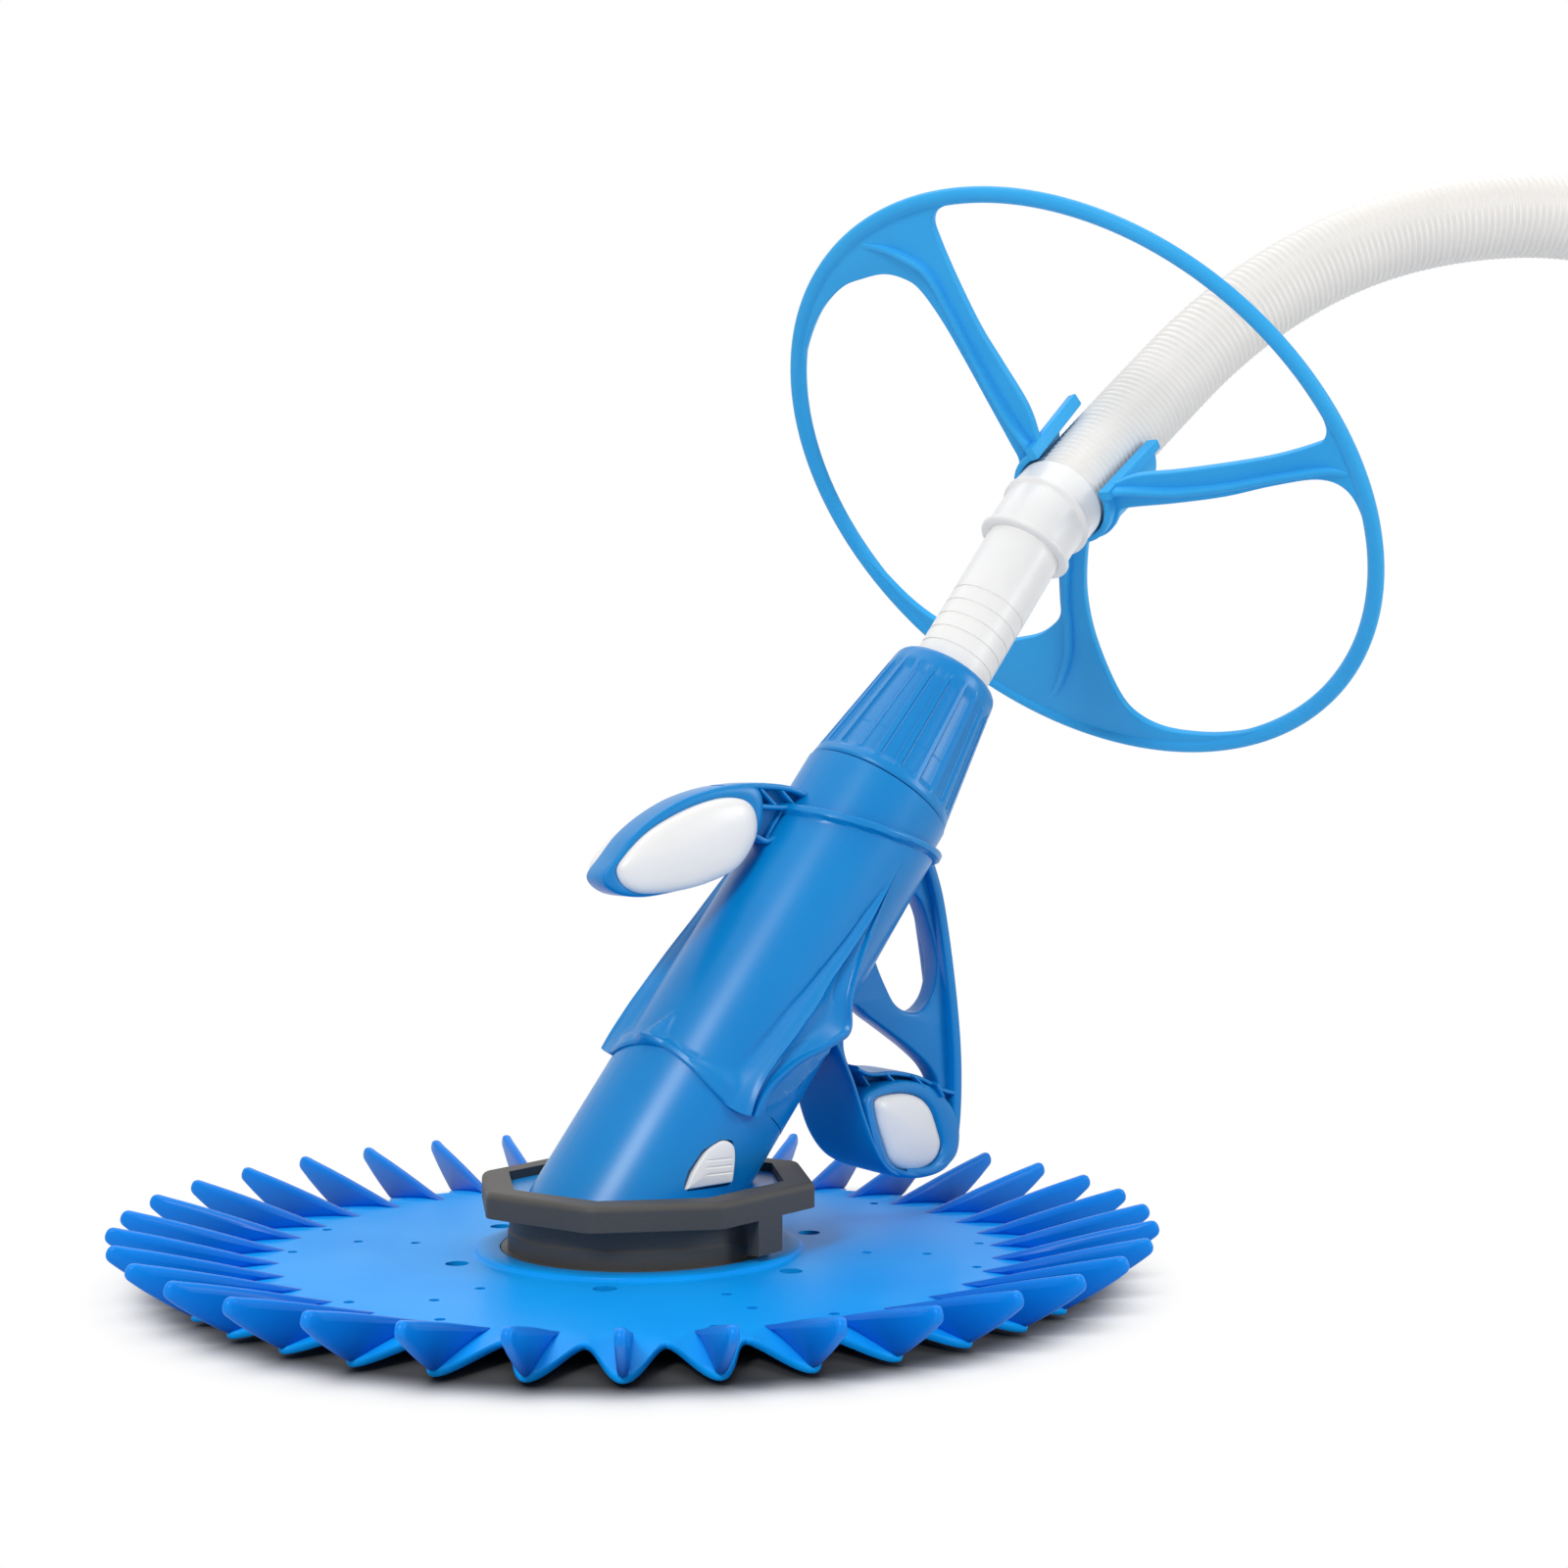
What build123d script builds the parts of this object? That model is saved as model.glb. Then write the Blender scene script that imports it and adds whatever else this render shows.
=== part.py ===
from build123d import *
import math
import os

os.makedirs("parts", exist_ok=True)

# Driving dimensions, in millimetres and degrees. The floor is z = 0, the disc turns about Z, and the
# barrel leans towards +X.

# Finned disc
disc_radius = 226.0
disc_root_radius = 163.0
disc_thickness = 3.0
disc_underside = 7.0
fin_count = 36
fin_thickness = 3.0
fin_rise = 18.0
fin_foot_radius = 198.0
hub_ring_radius = 70.0
hub_ring_height = 2.0
large_hole_radius = 5.0
large_hole_circle = 82.0
small_hole_radius = 2.0
small_hole_circles = (100.0, 126.0)
outer_hole_circle = 150.0
outer_hole_spread = 9.5
hole_groups = 6
hole_start_angle = -8.0

# Foot: sole, retainer, neck and octagonal collar
pad_radius = 85.0
pad_thickness = 3.6
inlet_radius = 30.0
inlet_lip_wall = 4.0
inlet_lip_height = 12.0
pad_channel_count = 6
pad_channel_width = 10.0
pad_channel_depth = 1.8
retainer_radius = 80.0
retainer_thickness = 3.0
neck_radius = 57.0
neck_bore_radius = 46.0
neck_rise = 20.0
bush_wall = 2.95
foot_screw_count = 4
foot_screw_radius = 2.0
foot_screw_head_radius = 3.5
foot_screw_head_height = 2.0
foot_screw_length = 12.0
collar_corner_radius = 73.0
collar_front_stretch = 1.137
collar_height = 11.0
collar_ledge = 4.0
collar_edge_round = 3.0
collar_corner_round = 8.0
leg_width = 16.0
leg_thickness = 6.0
leg_clearance = 5.0
plate_corner_radius = 60.0
plate_thickness = 3.0

# Leaning barrel, measured along its axis from the point above the disc centre
lean_angle = 54.0
axis_start_rise = 25.0
barrel_radius = 41.0
barrel_seat_radius = 36.4
barrel_step = 53.0
barrel_top = 213.0
throat_radius = 28.0
chamber_radius = 31.0
chamber_floor = 58.0
chamber_roof = 186.0
neck_bore = 27.0
spigot_radius = 31.2
spigot_length = 18.0

# Shroud around the barrel, its bumper arms and pads
shroud_gap = 0.3
shroud_hem_radius = 40.3
shroud_top_radius = 38.4
shroud_hem = 55.0
shroud_rim_centre = 193.0
shroud_rim_slope = 0.32
shroud_rim_width = 4.0
shroud_rim_radius = 41.5
hem_lip_radius = 42.3
hem_lip_width = 5.0
horn_length = 16.0
horn_width = 14.0
horn_height = 3.0
wing_reach = 45.0
far_wing_turn = 56.0
top_arm_half_width = 8.5
bottom_arm_half_width = 11.0
wide_band_half_width = 27.0
top_pad_half_width = 14.0
bottom_pad_half_width = 16.0
pad_round = 4.0

# Release buttons at the foot of the barrel
button_width = 26.0
button_height = 20.0
button_x = 12.0
button_base_rise = 31.0
button_depth = 5.6
button_proud = 1.2
button_pocket = 30.5
button_clearance = 0.3
spring_radius = 3.0
spring_wire = 0.4
spring_turns = 4

# Water passage inside the barrel
seat_thickness = 4.8
seat_bore = 18.0
diaphragm_wall = 2.5
diaphragm_flange = 3.0
diaphragm_waist = 9.0
diaphragm_waist_place = 112.0
clamp_ring_length = 9.5
diaphragm_collar_wall = 4.0
fit_gap = 0.2

# Hand nut, swivel tube, its bush and seal
tube_radius = 19.0
tube_bore = 16.5
tube_bottom = 191.0
tube_flange_radius = 24.0
tube_flange_place = 194.0
tube_flange_length = 4.5
tube_groove_count = 5
tube_groove_start = 291.0
tube_groove_pitch = 8.0
tube_groove_depth = 0.5
tube_groove_width = 1.4
running_gap = 0.05
swivel_bush_bottom = 199.0
swivel_flange_radius = 30.8
swivel_flange_length = 3.0
seal_wire_radius = 1.05
seal_place = 213.5
nut_seam_gap = 0.4
nut_base_radius = 36.0
nut_top_radius = 26.6
nut_lip_radius = 23.6
nut_shoulder = 4.5
nut_top = 283.0
nut_mouth_radius = 20.5
nut_wall = 3.0
nut_clearance = 0.3
flute_count = 16
flute_length = 48.0
flute_width = 4.4
flute_depth = 0.9

# Hose cuff, ribbed hose and its far cuff
cuff_bottom = 361.0
cuff_radius = 21.5
cuff_lip_radius = 22.7
cuff_lip_length = 3.5
cuff_ring_radius = 23.3
cuff_ring_length = 14.0
bend_place = 377.0
bend_reach = 8.0
hose_direction = (0.757, 0.145, 0.636)
hose_crest_radius = 21.2
hose_valley_radius = 20.2
hose_bore_radius = 18.6
hose_rib_count = 200
hose_plain_end = 6.0
far_cuff_length = 62.0
far_cuff_bore_length = 40.0

# Deflector wheel on the hose cuff
wheel_radius = 166.5
wheel_place = 30.0
rim_half_width = 4.6
rim_half_depth = 6.0
spoke_width = 17.0
spoke_thickness = 5.0
spoke_rib_width = 3.0
spoke_rib_depth = 12.0
hub_gap = 0.3
hub_wall = 3.4
hub_back = 8.0
hub_front = 37.0
spoke_directions = (179.0, 278.5, 32.5)
spoke_flare_radii = ((48.0, 18.0), (12.0, 20.0), (45.0, 48.0))
edge_bar_height = 5.0
edge_bar_width = 5.0

# Places worked out from the driving dimensions
disc_top = disc_underside + disc_thickness
neck_bottom = pad_thickness + retainer_thickness
collar_bottom = disc_top + neck_rise
plate_bottom = collar_bottom + collar_ledge
axis_cos = math.cos(math.radians(lean_angle))
axis_sin = math.sin(math.radians(lean_angle))
barrel_plane = Plane(
    origin=(0, 0, disc_top + axis_start_rise),
    x_dir=(-axis_sin, 0, axis_cos),
    z_dir=(axis_cos, 0, axis_sin),
)
hose_axis = Vector(*hose_direction).normalized()
bend_point = barrel_plane.from_local_coords(Vector(0, 0, bend_place))
wheel_centre = bend_point + hose_axis * wheel_place
wheel_plane = Plane(origin=wheel_centre, x_dir=Vector(0, 1, 0).cross(hose_axis), z_dir=hose_axis)
spigot_top = barrel_top + spigot_length
bush_top = spigot_top + swivel_flange_length


def on_barrel(shape):
    """Move a shape made about Z onto the leaning barrel axis."""
    return barrel_plane * shape


def turned(*profile):
    """Solid of revolution about Z from (radius, height) corners."""
    return revolve(Plane.XZ * make_face(Polyline(*profile, close=True)), Axis.Z)


def ring(inner, outer, low, high):
    """Plain ring about Z between two heights."""
    return turned((inner, low), (outer, low), (outer, high), (inner, high))


def side_plate(face, half_width):
    """Plate with an outline in X and Z, thickened to both sides of Y = 0."""
    return extrude(Plane.XZ * face, amount=half_width, both=True)


def lifted(*points):
    """Outline points given above the disc top, raised to heights above the floor."""
    return [(x, z + disc_top) for x, z in points]


def octagon(corner_radius, front_stretch=1.0):
    """Octagon with corners on the axes, drawn out towards +X."""
    corners = []
    for step in range(8):
        angle = math.radians(45 * step)
        x = corner_radius * math.cos(angle)
        if x > 0.001:
            x = x * front_stretch
        corners.append((x, corner_radius * math.sin(angle)))
    return make_face(Polyline(*corners, close=True))


def shroud_radius(place):
    """Outer radius of the shroud at a place along the barrel."""
    share = (place - shroud_hem) / (shroud_rim_centre - shroud_hem)
    return shroud_hem_radius + (shroud_top_radius - shroud_hem_radius) * share


def shroud_envelope():
    """Solid inside the shroud's outer face, used to seat what joins it."""
    low = shroud_hem - 5
    high = barrel_top + 40
    return on_barrel(turned((0, low), (shroud_radius(low), low), (shroud_radius(high), high), (0, high)))


def make_finned_disc():
    """Flat rubber disc with raised ring, bleed holes and upright fins on pointed petals."""
    pitch = 360 / fin_count
    outline = Sketch() + Circle(disc_root_radius + 2)
    near = 0.62 * math.radians(pitch) * disc_root_radius
    far = 0.40 * math.radians(pitch) * disc_root_radius
    half = fin_thickness / 2
    petal = make_face(
        Polyline(
            (disc_root_radius - 6, -far),
            (disc_root_radius + 7, -far * 0.55),
            (fin_foot_radius, -half),
            (fin_foot_radius + 3, half),
            (disc_root_radius + 14, near * 0.7),
            (disc_root_radius - 6, near),
            close=True,
        )
    )
    petals = [Rot(0, 0, pitch * k) * petal for k in range(fin_count)]
    outline = outline + petals
    plate = Pos(0, 0, disc_underside) * extrude(outline, amount=disc_thickness)
    plate = plate + ring(neck_radius, hub_ring_radius, disc_underside, disc_top + hub_ring_height)
    blade_face = make_face(
        [
            Line((disc_root_radius - 8, disc_underside + 1), (fin_foot_radius, disc_underside)),
            Spline(
                (fin_foot_radius, disc_underside),
                (disc_radius - 7, disc_top + 0.45 * fin_rise),
                (disc_radius, disc_top + 0.9 * fin_rise),
            ),
            Spline(
                (disc_radius, disc_top + 0.9 * fin_rise),
                (disc_radius - 3, disc_top + fin_rise),
                (disc_radius - 18, disc_top + 0.84 * fin_rise),
                (disc_root_radius + 12, disc_top + 0.3 * fin_rise),
                (disc_root_radius - 8, disc_top),
            ),
            Line((disc_root_radius - 8, disc_top), (disc_root_radius - 8, disc_underside + 1)),
        ]
    )
    blade = extrude(Plane.XZ * blade_face, amount=half, both=True)
    disc = plate + [Rot(0, 0, pitch * k) * blade for k in range(fin_count)]
    holes = [Cylinder(neck_radius + running_gap + bush_wall, 60)]
    for group in range(hole_groups):
        turn = hole_start_angle + 360 / hole_groups * group
        middle = turn + 180 / hole_groups
        holes.append(Rot(0, 0, turn) * Pos(large_hole_circle, 0, 0) * Cylinder(large_hole_radius, 60))
        for radius in small_hole_circles:
            holes.append(Rot(0, 0, middle) * Pos(radius, 0, 0) * Cylinder(small_hole_radius, 60))
        for side in (-outer_hole_spread, outer_hole_spread):
            place = Rot(0, 0, middle + side) * Pos(outer_hole_circle, 0, 0)
            holes.append(place * Cylinder(small_hole_radius, 60))
    return disc - holes


def make_disc_bush():
    """Slippery ring pressed in the disc's hole, running on the neck."""
    inner = neck_radius + running_gap
    return ring(inner, inner + bush_wall, disc_underside, disc_top + hub_ring_height)


def make_foot_pad():
    """Rubber sole with a raised inlet lip and radial water channels."""
    sole = ring(inlet_radius, pad_radius, 0, pad_thickness)
    sole = sole + ring(inlet_radius, inlet_radius + inlet_lip_wall, 0, inlet_lip_height)
    start = inlet_radius + inlet_lip_wall + 4
    channel = Pos((start + pad_radius) / 2 + 5, 0, pad_channel_depth / 2) * Box(
        pad_radius - start + 10, pad_channel_width, pad_channel_depth
    )
    turns = [Rot(0, 0, 360 / pad_channel_count * k) * channel for k in range(pad_channel_count)]
    return sole - turns


def screw_places():
    """Places of the foot screws, in the neck's wall."""
    circle = (neck_radius + neck_bore_radius) / 2
    return [Rot(0, 0, 45 + 360 / foot_screw_count * k) * Pos(circle, 0, 0) for k in range(foot_screw_count)]


def make_disc_retainer():
    """Flat ring under the disc, screwed to the neck."""
    plate = ring(inlet_radius + inlet_lip_wall + fit_gap, retainer_radius, pad_thickness, neck_bottom)
    head_top = pad_thickness + foot_screw_head_height
    for place in screw_places():
        plate = plate - place * ring(0, foot_screw_radius + fit_gap, 0, neck_bottom + 1)
        plate = plate - place * ring(0, foot_screw_head_radius + fit_gap, 0, head_top)
    return plate


def make_foot_screws():
    """Screws through the retainer into the neck, with their heads under it."""
    head_top = pad_thickness + foot_screw_head_height
    screws = []
    for place in screw_places():
        screws.append(
            place
            * turned(
                (0, pad_thickness + fit_gap),
                (foot_screw_head_radius, pad_thickness + fit_gap),
                (foot_screw_head_radius, head_top),
                (foot_screw_radius, head_top),
                (foot_screw_radius, head_top + foot_screw_length),
                (0, head_top + foot_screw_length),
            )
        )
    return Compound(children=screws)


def make_neck():
    """Round neck that the disc turns on."""
    neck = ring(neck_bore_radius, neck_radius, neck_bottom, collar_bottom)
    depth = pad_thickness + foot_screw_head_height + foot_screw_length + fit_gap
    for place in screw_places():
        neck = neck - place * ring(0, foot_screw_radius + running_gap, 0, depth)
    return neck


def make_foot_collar():
    """Octagonal rubber collar with two hanging legs."""
    outline = octagon(collar_corner_radius, collar_front_stretch)
    outline = fillet(outline.vertices(), collar_corner_round)
    collar = Pos(0, 0, collar_bottom) * extrude(outline, amount=collar_height)
    collar = fillet(collar.faces().sort_by(Axis.Z)[-1].edges(), collar_edge_round)
    collar = collar - Pos(0, 0, collar_bottom) * Cylinder(neck_bore_radius + 6, 60)
    seat = octagon(plate_corner_radius + fit_gap, collar_front_stretch)
    collar = collar - Pos(0, 0, plate_bottom) * extrude(seat, amount=30)
    leg_low = disc_top + leg_clearance
    leg_height = collar_bottom - leg_low + 2
    corner = collar_corner_radius * math.cos(math.radians(45))
    for side in (-1, 1):
        middle = Vector(corner * collar_front_stretch / 2, side * (corner + collar_corner_radius) / 2)
        along = Vector(corner * collar_front_stretch, side * (corner - collar_corner_radius))
        turn = math.degrees(math.atan2(along.Y, along.X))
        inward = -side * leg_thickness / 2
        leg = Pos(middle.X, middle.Y, leg_low + leg_height / 2) * Rot(0, 0, turn) * Pos(0, inward, 0)
        collar = collar + leg * Box(leg_width, leg_thickness, leg_height)
    return collar


def button_outline(grow):
    """Quarter-oval button outline in X and Z, higher on its front side."""
    low = disc_top + button_base_rise
    left = button_x - button_width / 2
    right = button_x + button_width / 2
    top = low + button_height
    outline = make_face(
        Polyline(
            (left, low),
            (left + 0.12 * button_width, low + 0.4 * button_height),
            (left + 0.38 * button_width, low + 0.8 * button_height),
            (left + 0.7 * button_width, top),
            (right - 0.06 * button_width, top - 0.04 * button_height),
            (right, low + 0.65 * button_height),
            (right - 0.04 * button_width, low),
            close=True,
        )
    )
    outline = fillet(outline.vertices(), 2)
    return offset(outline, grow) if grow else outline


def button_block(grow, near, far, side):
    """Button outline pushed along Y between two distances from the middle."""
    block = extrude(Plane.XZ * button_outline(grow), amount=far - near)
    block = Pos(0, -near, 0) * block
    return block if side < 0 else mirror(block, Plane.XZ)


def make_barrel():
    """Leaning barrel with its foot plate, stepped seat, chamber and threaded spigot."""
    tube = on_barrel(
        turned(
            (0.01, -60),
            (barrel_radius, -60),
            (barrel_radius, barrel_step),
            (barrel_seat_radius, barrel_step),
            (barrel_seat_radius, barrel_top),
            (spigot_radius, barrel_top),
            (spigot_radius, spigot_top),
            (0.01, spigot_top),
        )
    )
    above = Pos(0, 0, plate_bottom + 300) * Box(900, 900, 600)
    barrel = tube & above
    plate = Pos(0, 0, plate_bottom) * extrude(
        octagon(plate_corner_radius, collar_front_stretch), amount=plate_thickness
    )
    barrel = barrel + plate
    bore = on_barrel(
        turned(
            (0, -90),
            (throat_radius, -90),
            (throat_radius, chamber_floor),
            (chamber_radius, chamber_floor),
            (chamber_radius, chamber_roof),
            (neck_bore, chamber_roof + 4),
            (neck_bore, spigot_top + 5),
            (0, spigot_top + 5),
        )
    )
    barrel = barrel - bore
    for side in (-1, 1):
        barrel = barrel - button_block(button_clearance, button_pocket, 70, side)
    return barrel


def make_button(side):
    """Release button, a domed half-oval cap in its pocket."""
    face = barrel_radius + button_proud
    button = button_block(0, face - button_depth, face, side)
    outer = button.faces().sort_by(Axis.Y)[0 if side < 0 else -1]
    return fillet(outer.edges(), button_proud)


def make_button_spring(side):
    """Short coil spring behind a release button."""
    length = barrel_radius + button_proud - button_depth - button_pocket - 2 * spring_wire
    coil = Helix(pitch=length / spring_turns, height=length, radius=spring_radius)
    wire = Plane(origin=coil @ 0, z_dir=coil % 0) * Circle(spring_wire)
    spring = sweep(wire, path=coil, is_frenet=True)
    middle = disc_top + button_base_rise + 0.45 * button_height
    place = Pos(button_x, side * (button_pocket + spring_wire), middle) * Rot(-side * 90, 0, 0)
    return place * spring


def rim_slab(low, high):
    """Slab between two slanting planes along the barrel, for the shroud's upper rim."""
    tilt = math.degrees(math.atan(shroud_rim_slope))
    height = (high - low) * math.cos(math.radians(tilt))
    middle = shroud_rim_centre + (low + high) / 2
    return on_barrel(Pos(0, 0, middle) * Rot(0, tilt, 0) * Box(400, 400, height))


def prism(lower, upper):
    """Closed solid between two triangles with matching corners."""
    faces = [Face(Wire.make_polygon(lower)), Face(Wire.make_polygon(upper))]
    for k in range(3):
        n = (k + 1) % 3
        faces.append(Face(Wire.make_polygon([lower[k], lower[n], upper[n]])))
        faces.append(Face(Wire.make_polygon([lower[k], upper[n], upper[k]])))
    return Solid(Shell(faces))


def wing(side, turn=0):
    """Flared gill on one side of the shroud, hollowed along its rear edge and turned about the barrel."""

    def at(place, down, out):
        point = Vector(-down, -side * out, place).rotate(Axis.Z, turn)
        return barrel_plane.from_local_coords(point)

    top = shroud_rim_centre - 16
    tip = shroud_hem - 2
    corner = shroud_hem + 46
    outer = [at(top, 13, 36.5), at(tip, 7, wing_reach), at(corner, 27, wing_reach)]
    inner = [at(top, 12, 30), at(tip, -14, 34), at(corner, 30, 16)]
    body = prism(inner, outer)
    scoop_outer = [at(top - 14, 18, 44), at(tip - 9, 21, 52), at(corner + 5, 40, 48)]
    scoop_inner = [at(top - 18, 17, 36), at(tip - 9, 15, 39), at(corner + 5, 33, 34)]
    return body - prism(scoop_inner, scoop_outer)


def make_shroud():
    """Sleeve around the barrel with a slanting raised rim, a hem, a horn and two side gills."""
    inner = barrel_seat_radius + shroud_gap
    low = shroud_hem
    high = barrel_top + 40
    sleeve = on_barrel(
        turned((inner, low), (shroud_radius(low), low), (shroud_radius(high), high), (inner, high))
    )
    lip = on_barrel(ring(inner, hem_lip_radius, low, low + hem_lip_width))
    band = on_barrel(ring(inner, shroud_rim_radius, low, high))
    sleeve = sleeve & rim_slab(-400, 0)
    band = band & rim_slab(-shroud_rim_width, 0)
    shroud = sleeve + lip + band + wing(-1) + wing(1, far_wing_turn)
    horn_low = low + hem_lip_width - 1
    horn_top = shroud_hem_radius + horn_height
    horn = prism(
        [
            barrel_plane.from_local_coords(Vector(inner + 1, -horn_width / 2, horn_low)),
            barrel_plane.from_local_coords(Vector(inner + 1, horn_width / 2, horn_low)),
            barrel_plane.from_local_coords(Vector(inner + 1, 0, horn_low + horn_length)),
        ],
        [
            barrel_plane.from_local_coords(Vector(horn_top - 1, -horn_width / 2, horn_low)),
            barrel_plane.from_local_coords(Vector(horn_top - 1, horn_width / 2, horn_low)),
            barrel_plane.from_local_coords(Vector(horn_top, 0, horn_low + horn_length)),
        ],
    )
    shroud = shroud + horn
    return shroud - on_barrel(ring(0, inner, low - 60, high + 60))


def top_leaf():
    """Leaf-shaped opening of the top arm, which its pad fills."""
    tip, crown, brow, heel = lifted((-16, 165), (-5, 179.5), (38, 197), (53, 186))
    hollow, belly = lifted((43, 169.5), (6, 157.3))
    return make_face([Spline(tip, crown, brow, heel), Spline(heel, hollow, belly, tip)])


def bottom_leaf():
    """Rounded opening of the bottom arm, which its pad fills."""
    corners = lifted((111, 60.5), (138, 58.5), (146.5, 52), (153.5, 36), (149.5, 26.8), (138, 24.2), (123, 27))
    leaf = make_face(Polyline(*corners, close=True))
    return fillet(leaf.vertices(), 4)


def seated(arm):
    """Cut an arm back to the shroud's outer face and raised rim."""
    rim = on_barrel(ring(0, shroud_rim_radius, 0, barrel_top + 40)) & rim_slab(-shroud_rim_width, 0)
    return arm - shroud_envelope() - rim


def make_top_arm():
    """Upper bumper arm, a leaf-shaped loop standing on the top of the shroud."""
    tip, crown, brow, root_high = lifted((-22, 162.5), (1, 186), (49, 202.5), (92, 203))
    root_low, elbow, belly = lifted((92, 182), (47, 162.5), (2, 153.2))
    outline = make_face(
        [
            Spline(tip, crown, brow, root_high),
            Line(root_high, root_low),
            Spline(root_low, elbow, belly, tip),
        ]
    )
    arm = side_plate(outline, top_arm_half_width) - side_plate(top_leaf(), 60)
    return seated(arm)


def make_bottom_arm():
    """Lower bumper arm, a deep loop with a web, two openings and a broad band under the barrel."""
    outer = lifted((152.3, 165.5), (155, 157), (164, 119), (168, 81), (168.4, 57), (166.5, 36), (160, 23.5), (146, 19.5))
    inner = lifted((126, 22), (104, 30), (97, 52), (95, 74), (99, 94), (80, 96), (136, 180))
    outline = make_face(Polyline(*outer, *inner, close=True))
    arm = side_plate(outline, bottom_arm_half_width)
    upper_opening = lifted((146, 149), (152, 136), (156, 116), (152, 101), (142, 95.5), (131, 101), (110, 118), (120, 150))
    upper_opening = make_face(Polyline(*upper_opening, close=True))
    lower_opening = lifted((111, 98), (131, 86.5), (145, 78), (153, 68.5), (157, 60), (142, 64.5), (112, 69.5))
    lower_opening = make_face(Polyline(*lower_opening, close=True))
    arm = arm - side_plate(upper_opening, 60) - side_plate(lower_opening, 60)
    strip = lifted((95, 74), (97, 52), (104, 30), (126, 22), (128, 26.5), (109, 34), (103, 53), (101, 74))
    arm = arm + side_plate(make_face(Polyline(*strip, close=True)), wide_band_half_width)
    arm = arm - side_plate(bottom_leaf(), 60)
    return seated(arm) - wing(-1)


def make_pad(leaf, half_width):
    """Bumper pad, domed on both sides, filling an arm's opening."""
    pad = side_plate(leaf, half_width)
    outer = pad.faces().sort_by(Axis.Y)
    return fillet(outer[0].edges() + outer[-1].edges(), pad_round)


def make_seat():
    """Ring on the chamber floor that the diaphragm's flange sits on."""
    return on_barrel(ring(seat_bore, chamber_radius - fit_gap, chamber_floor, chamber_floor + seat_thickness))


def make_diaphragm():
    """Waisted rubber tube that opens and closes as water is drawn through it."""
    low = chamber_floor + seat_thickness
    high = chamber_roof
    mouth = seat_bore
    waist = diaphragm_waist
    collar = tube_radius
    outer = chamber_radius - fit_gap
    collar_low = high - clamp_ring_length
    wall = diaphragm_wall
    return on_barrel(
        turned(
            (mouth, low),
            (outer, low),
            (outer, low + diaphragm_flange),
            (mouth + wall, low + diaphragm_flange + 2),
            (waist + wall, diaphragm_waist_place),
            (collar + wall, collar_low - 4),
            (collar + diaphragm_collar_wall, collar_low),
            (collar + diaphragm_collar_wall, high),
            (collar, high),
            (collar, collar_low - 4),
            (waist, diaphragm_waist_place),
            (mouth, low + diaphragm_flange + 2),
        )
    )


def make_clamp_ring():
    """Ring that holds the diaphragm's upper collar in the chamber."""
    inner = tube_radius + diaphragm_collar_wall
    return on_barrel(ring(inner, chamber_radius - fit_gap, chamber_roof - clamp_ring_length, chamber_roof))


def make_swivel_bush():
    """Flanged bush in the spigot that the swivel tube turns in."""
    inner = tube_radius + running_gap
    groove = seal_wire_radius + 0.15
    centre = tube_radius + 0.35 + seal_wire_radius
    body = turned(
        (inner, swivel_bush_bottom),
        (neck_bore - running_gap, swivel_bush_bottom),
        (neck_bore - running_gap, spigot_top),
        (swivel_flange_radius, spigot_top),
        (swivel_flange_radius, bush_top),
        (inner, bush_top),
    )
    body = body - ring(inner - 1, centre + groove, seal_place - groove, seal_place + groove)
    return on_barrel(body)


def make_tube_seal():
    """Rubber ring in the bush's groove, around the swivel tube."""
    centre = tube_radius + 0.35 + seal_wire_radius
    return on_barrel(Pos(0, 0, seal_place) * Torus(centre, seal_wire_radius))


def make_swivel_tube():
    """White tube that turns in the bush and in the hose cuff."""
    top = bend_place - bend_reach
    tube = ring(tube_bore, tube_radius, tube_bottom, top)
    flange_top = tube_flange_place + tube_flange_length
    tube = tube + ring(tube_bore, tube_flange_radius, tube_flange_place, flange_top)
    for k in range(tube_groove_count):
        low = tube_groove_start + tube_groove_pitch * k
        tube = tube - ring(tube_radius - tube_groove_depth, tube_radius + 5, low, low + tube_groove_width)
    return on_barrel(tube)


def make_hand_nut():
    """Tapered nut with long shallow flutes."""
    low = barrel_top + nut_seam_gap
    seat = bush_top + nut_clearance
    inner = spigot_radius + nut_clearance
    body = turned(
        (inner, low),
        (nut_base_radius, low),
        (nut_top_radius, nut_top - nut_shoulder),
        (nut_lip_radius, nut_top),
        (nut_mouth_radius, nut_top),
        (nut_mouth_radius, nut_top - 8),
        (nut_top_radius - nut_wall, nut_top - 12),
        (inner - 4, seat + 8),
        (inner - 4, seat),
        (inner, seat),
    )
    shoulder = body.edges().filter_by(GeomType.CIRCLE).sort_by(Axis.Z)
    rim = [e for e in shoulder if abs(e.radius - nut_top_radius) < 0.01]
    body = fillet(rim, 3)
    rise = nut_top - nut_shoulder - low
    slant = math.degrees(math.atan2(nut_base_radius - nut_top_radius, rise))
    middle = low + 0.53 * rise
    radius = nut_base_radius + (nut_top_radius - nut_base_radius) * 0.53
    slot = extrude(SlotOverall(flute_length, flute_width), amount=flute_depth + 4)
    slot = Pos(radius - flute_depth, 0, middle) * Rot(0, -slant, 0) * Rot(0, 90, 0) * slot
    flutes = [Rot(0, 0, 360 / flute_count * k) * slot for k in range(flute_count)]
    return on_barrel(body - flutes)


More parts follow.
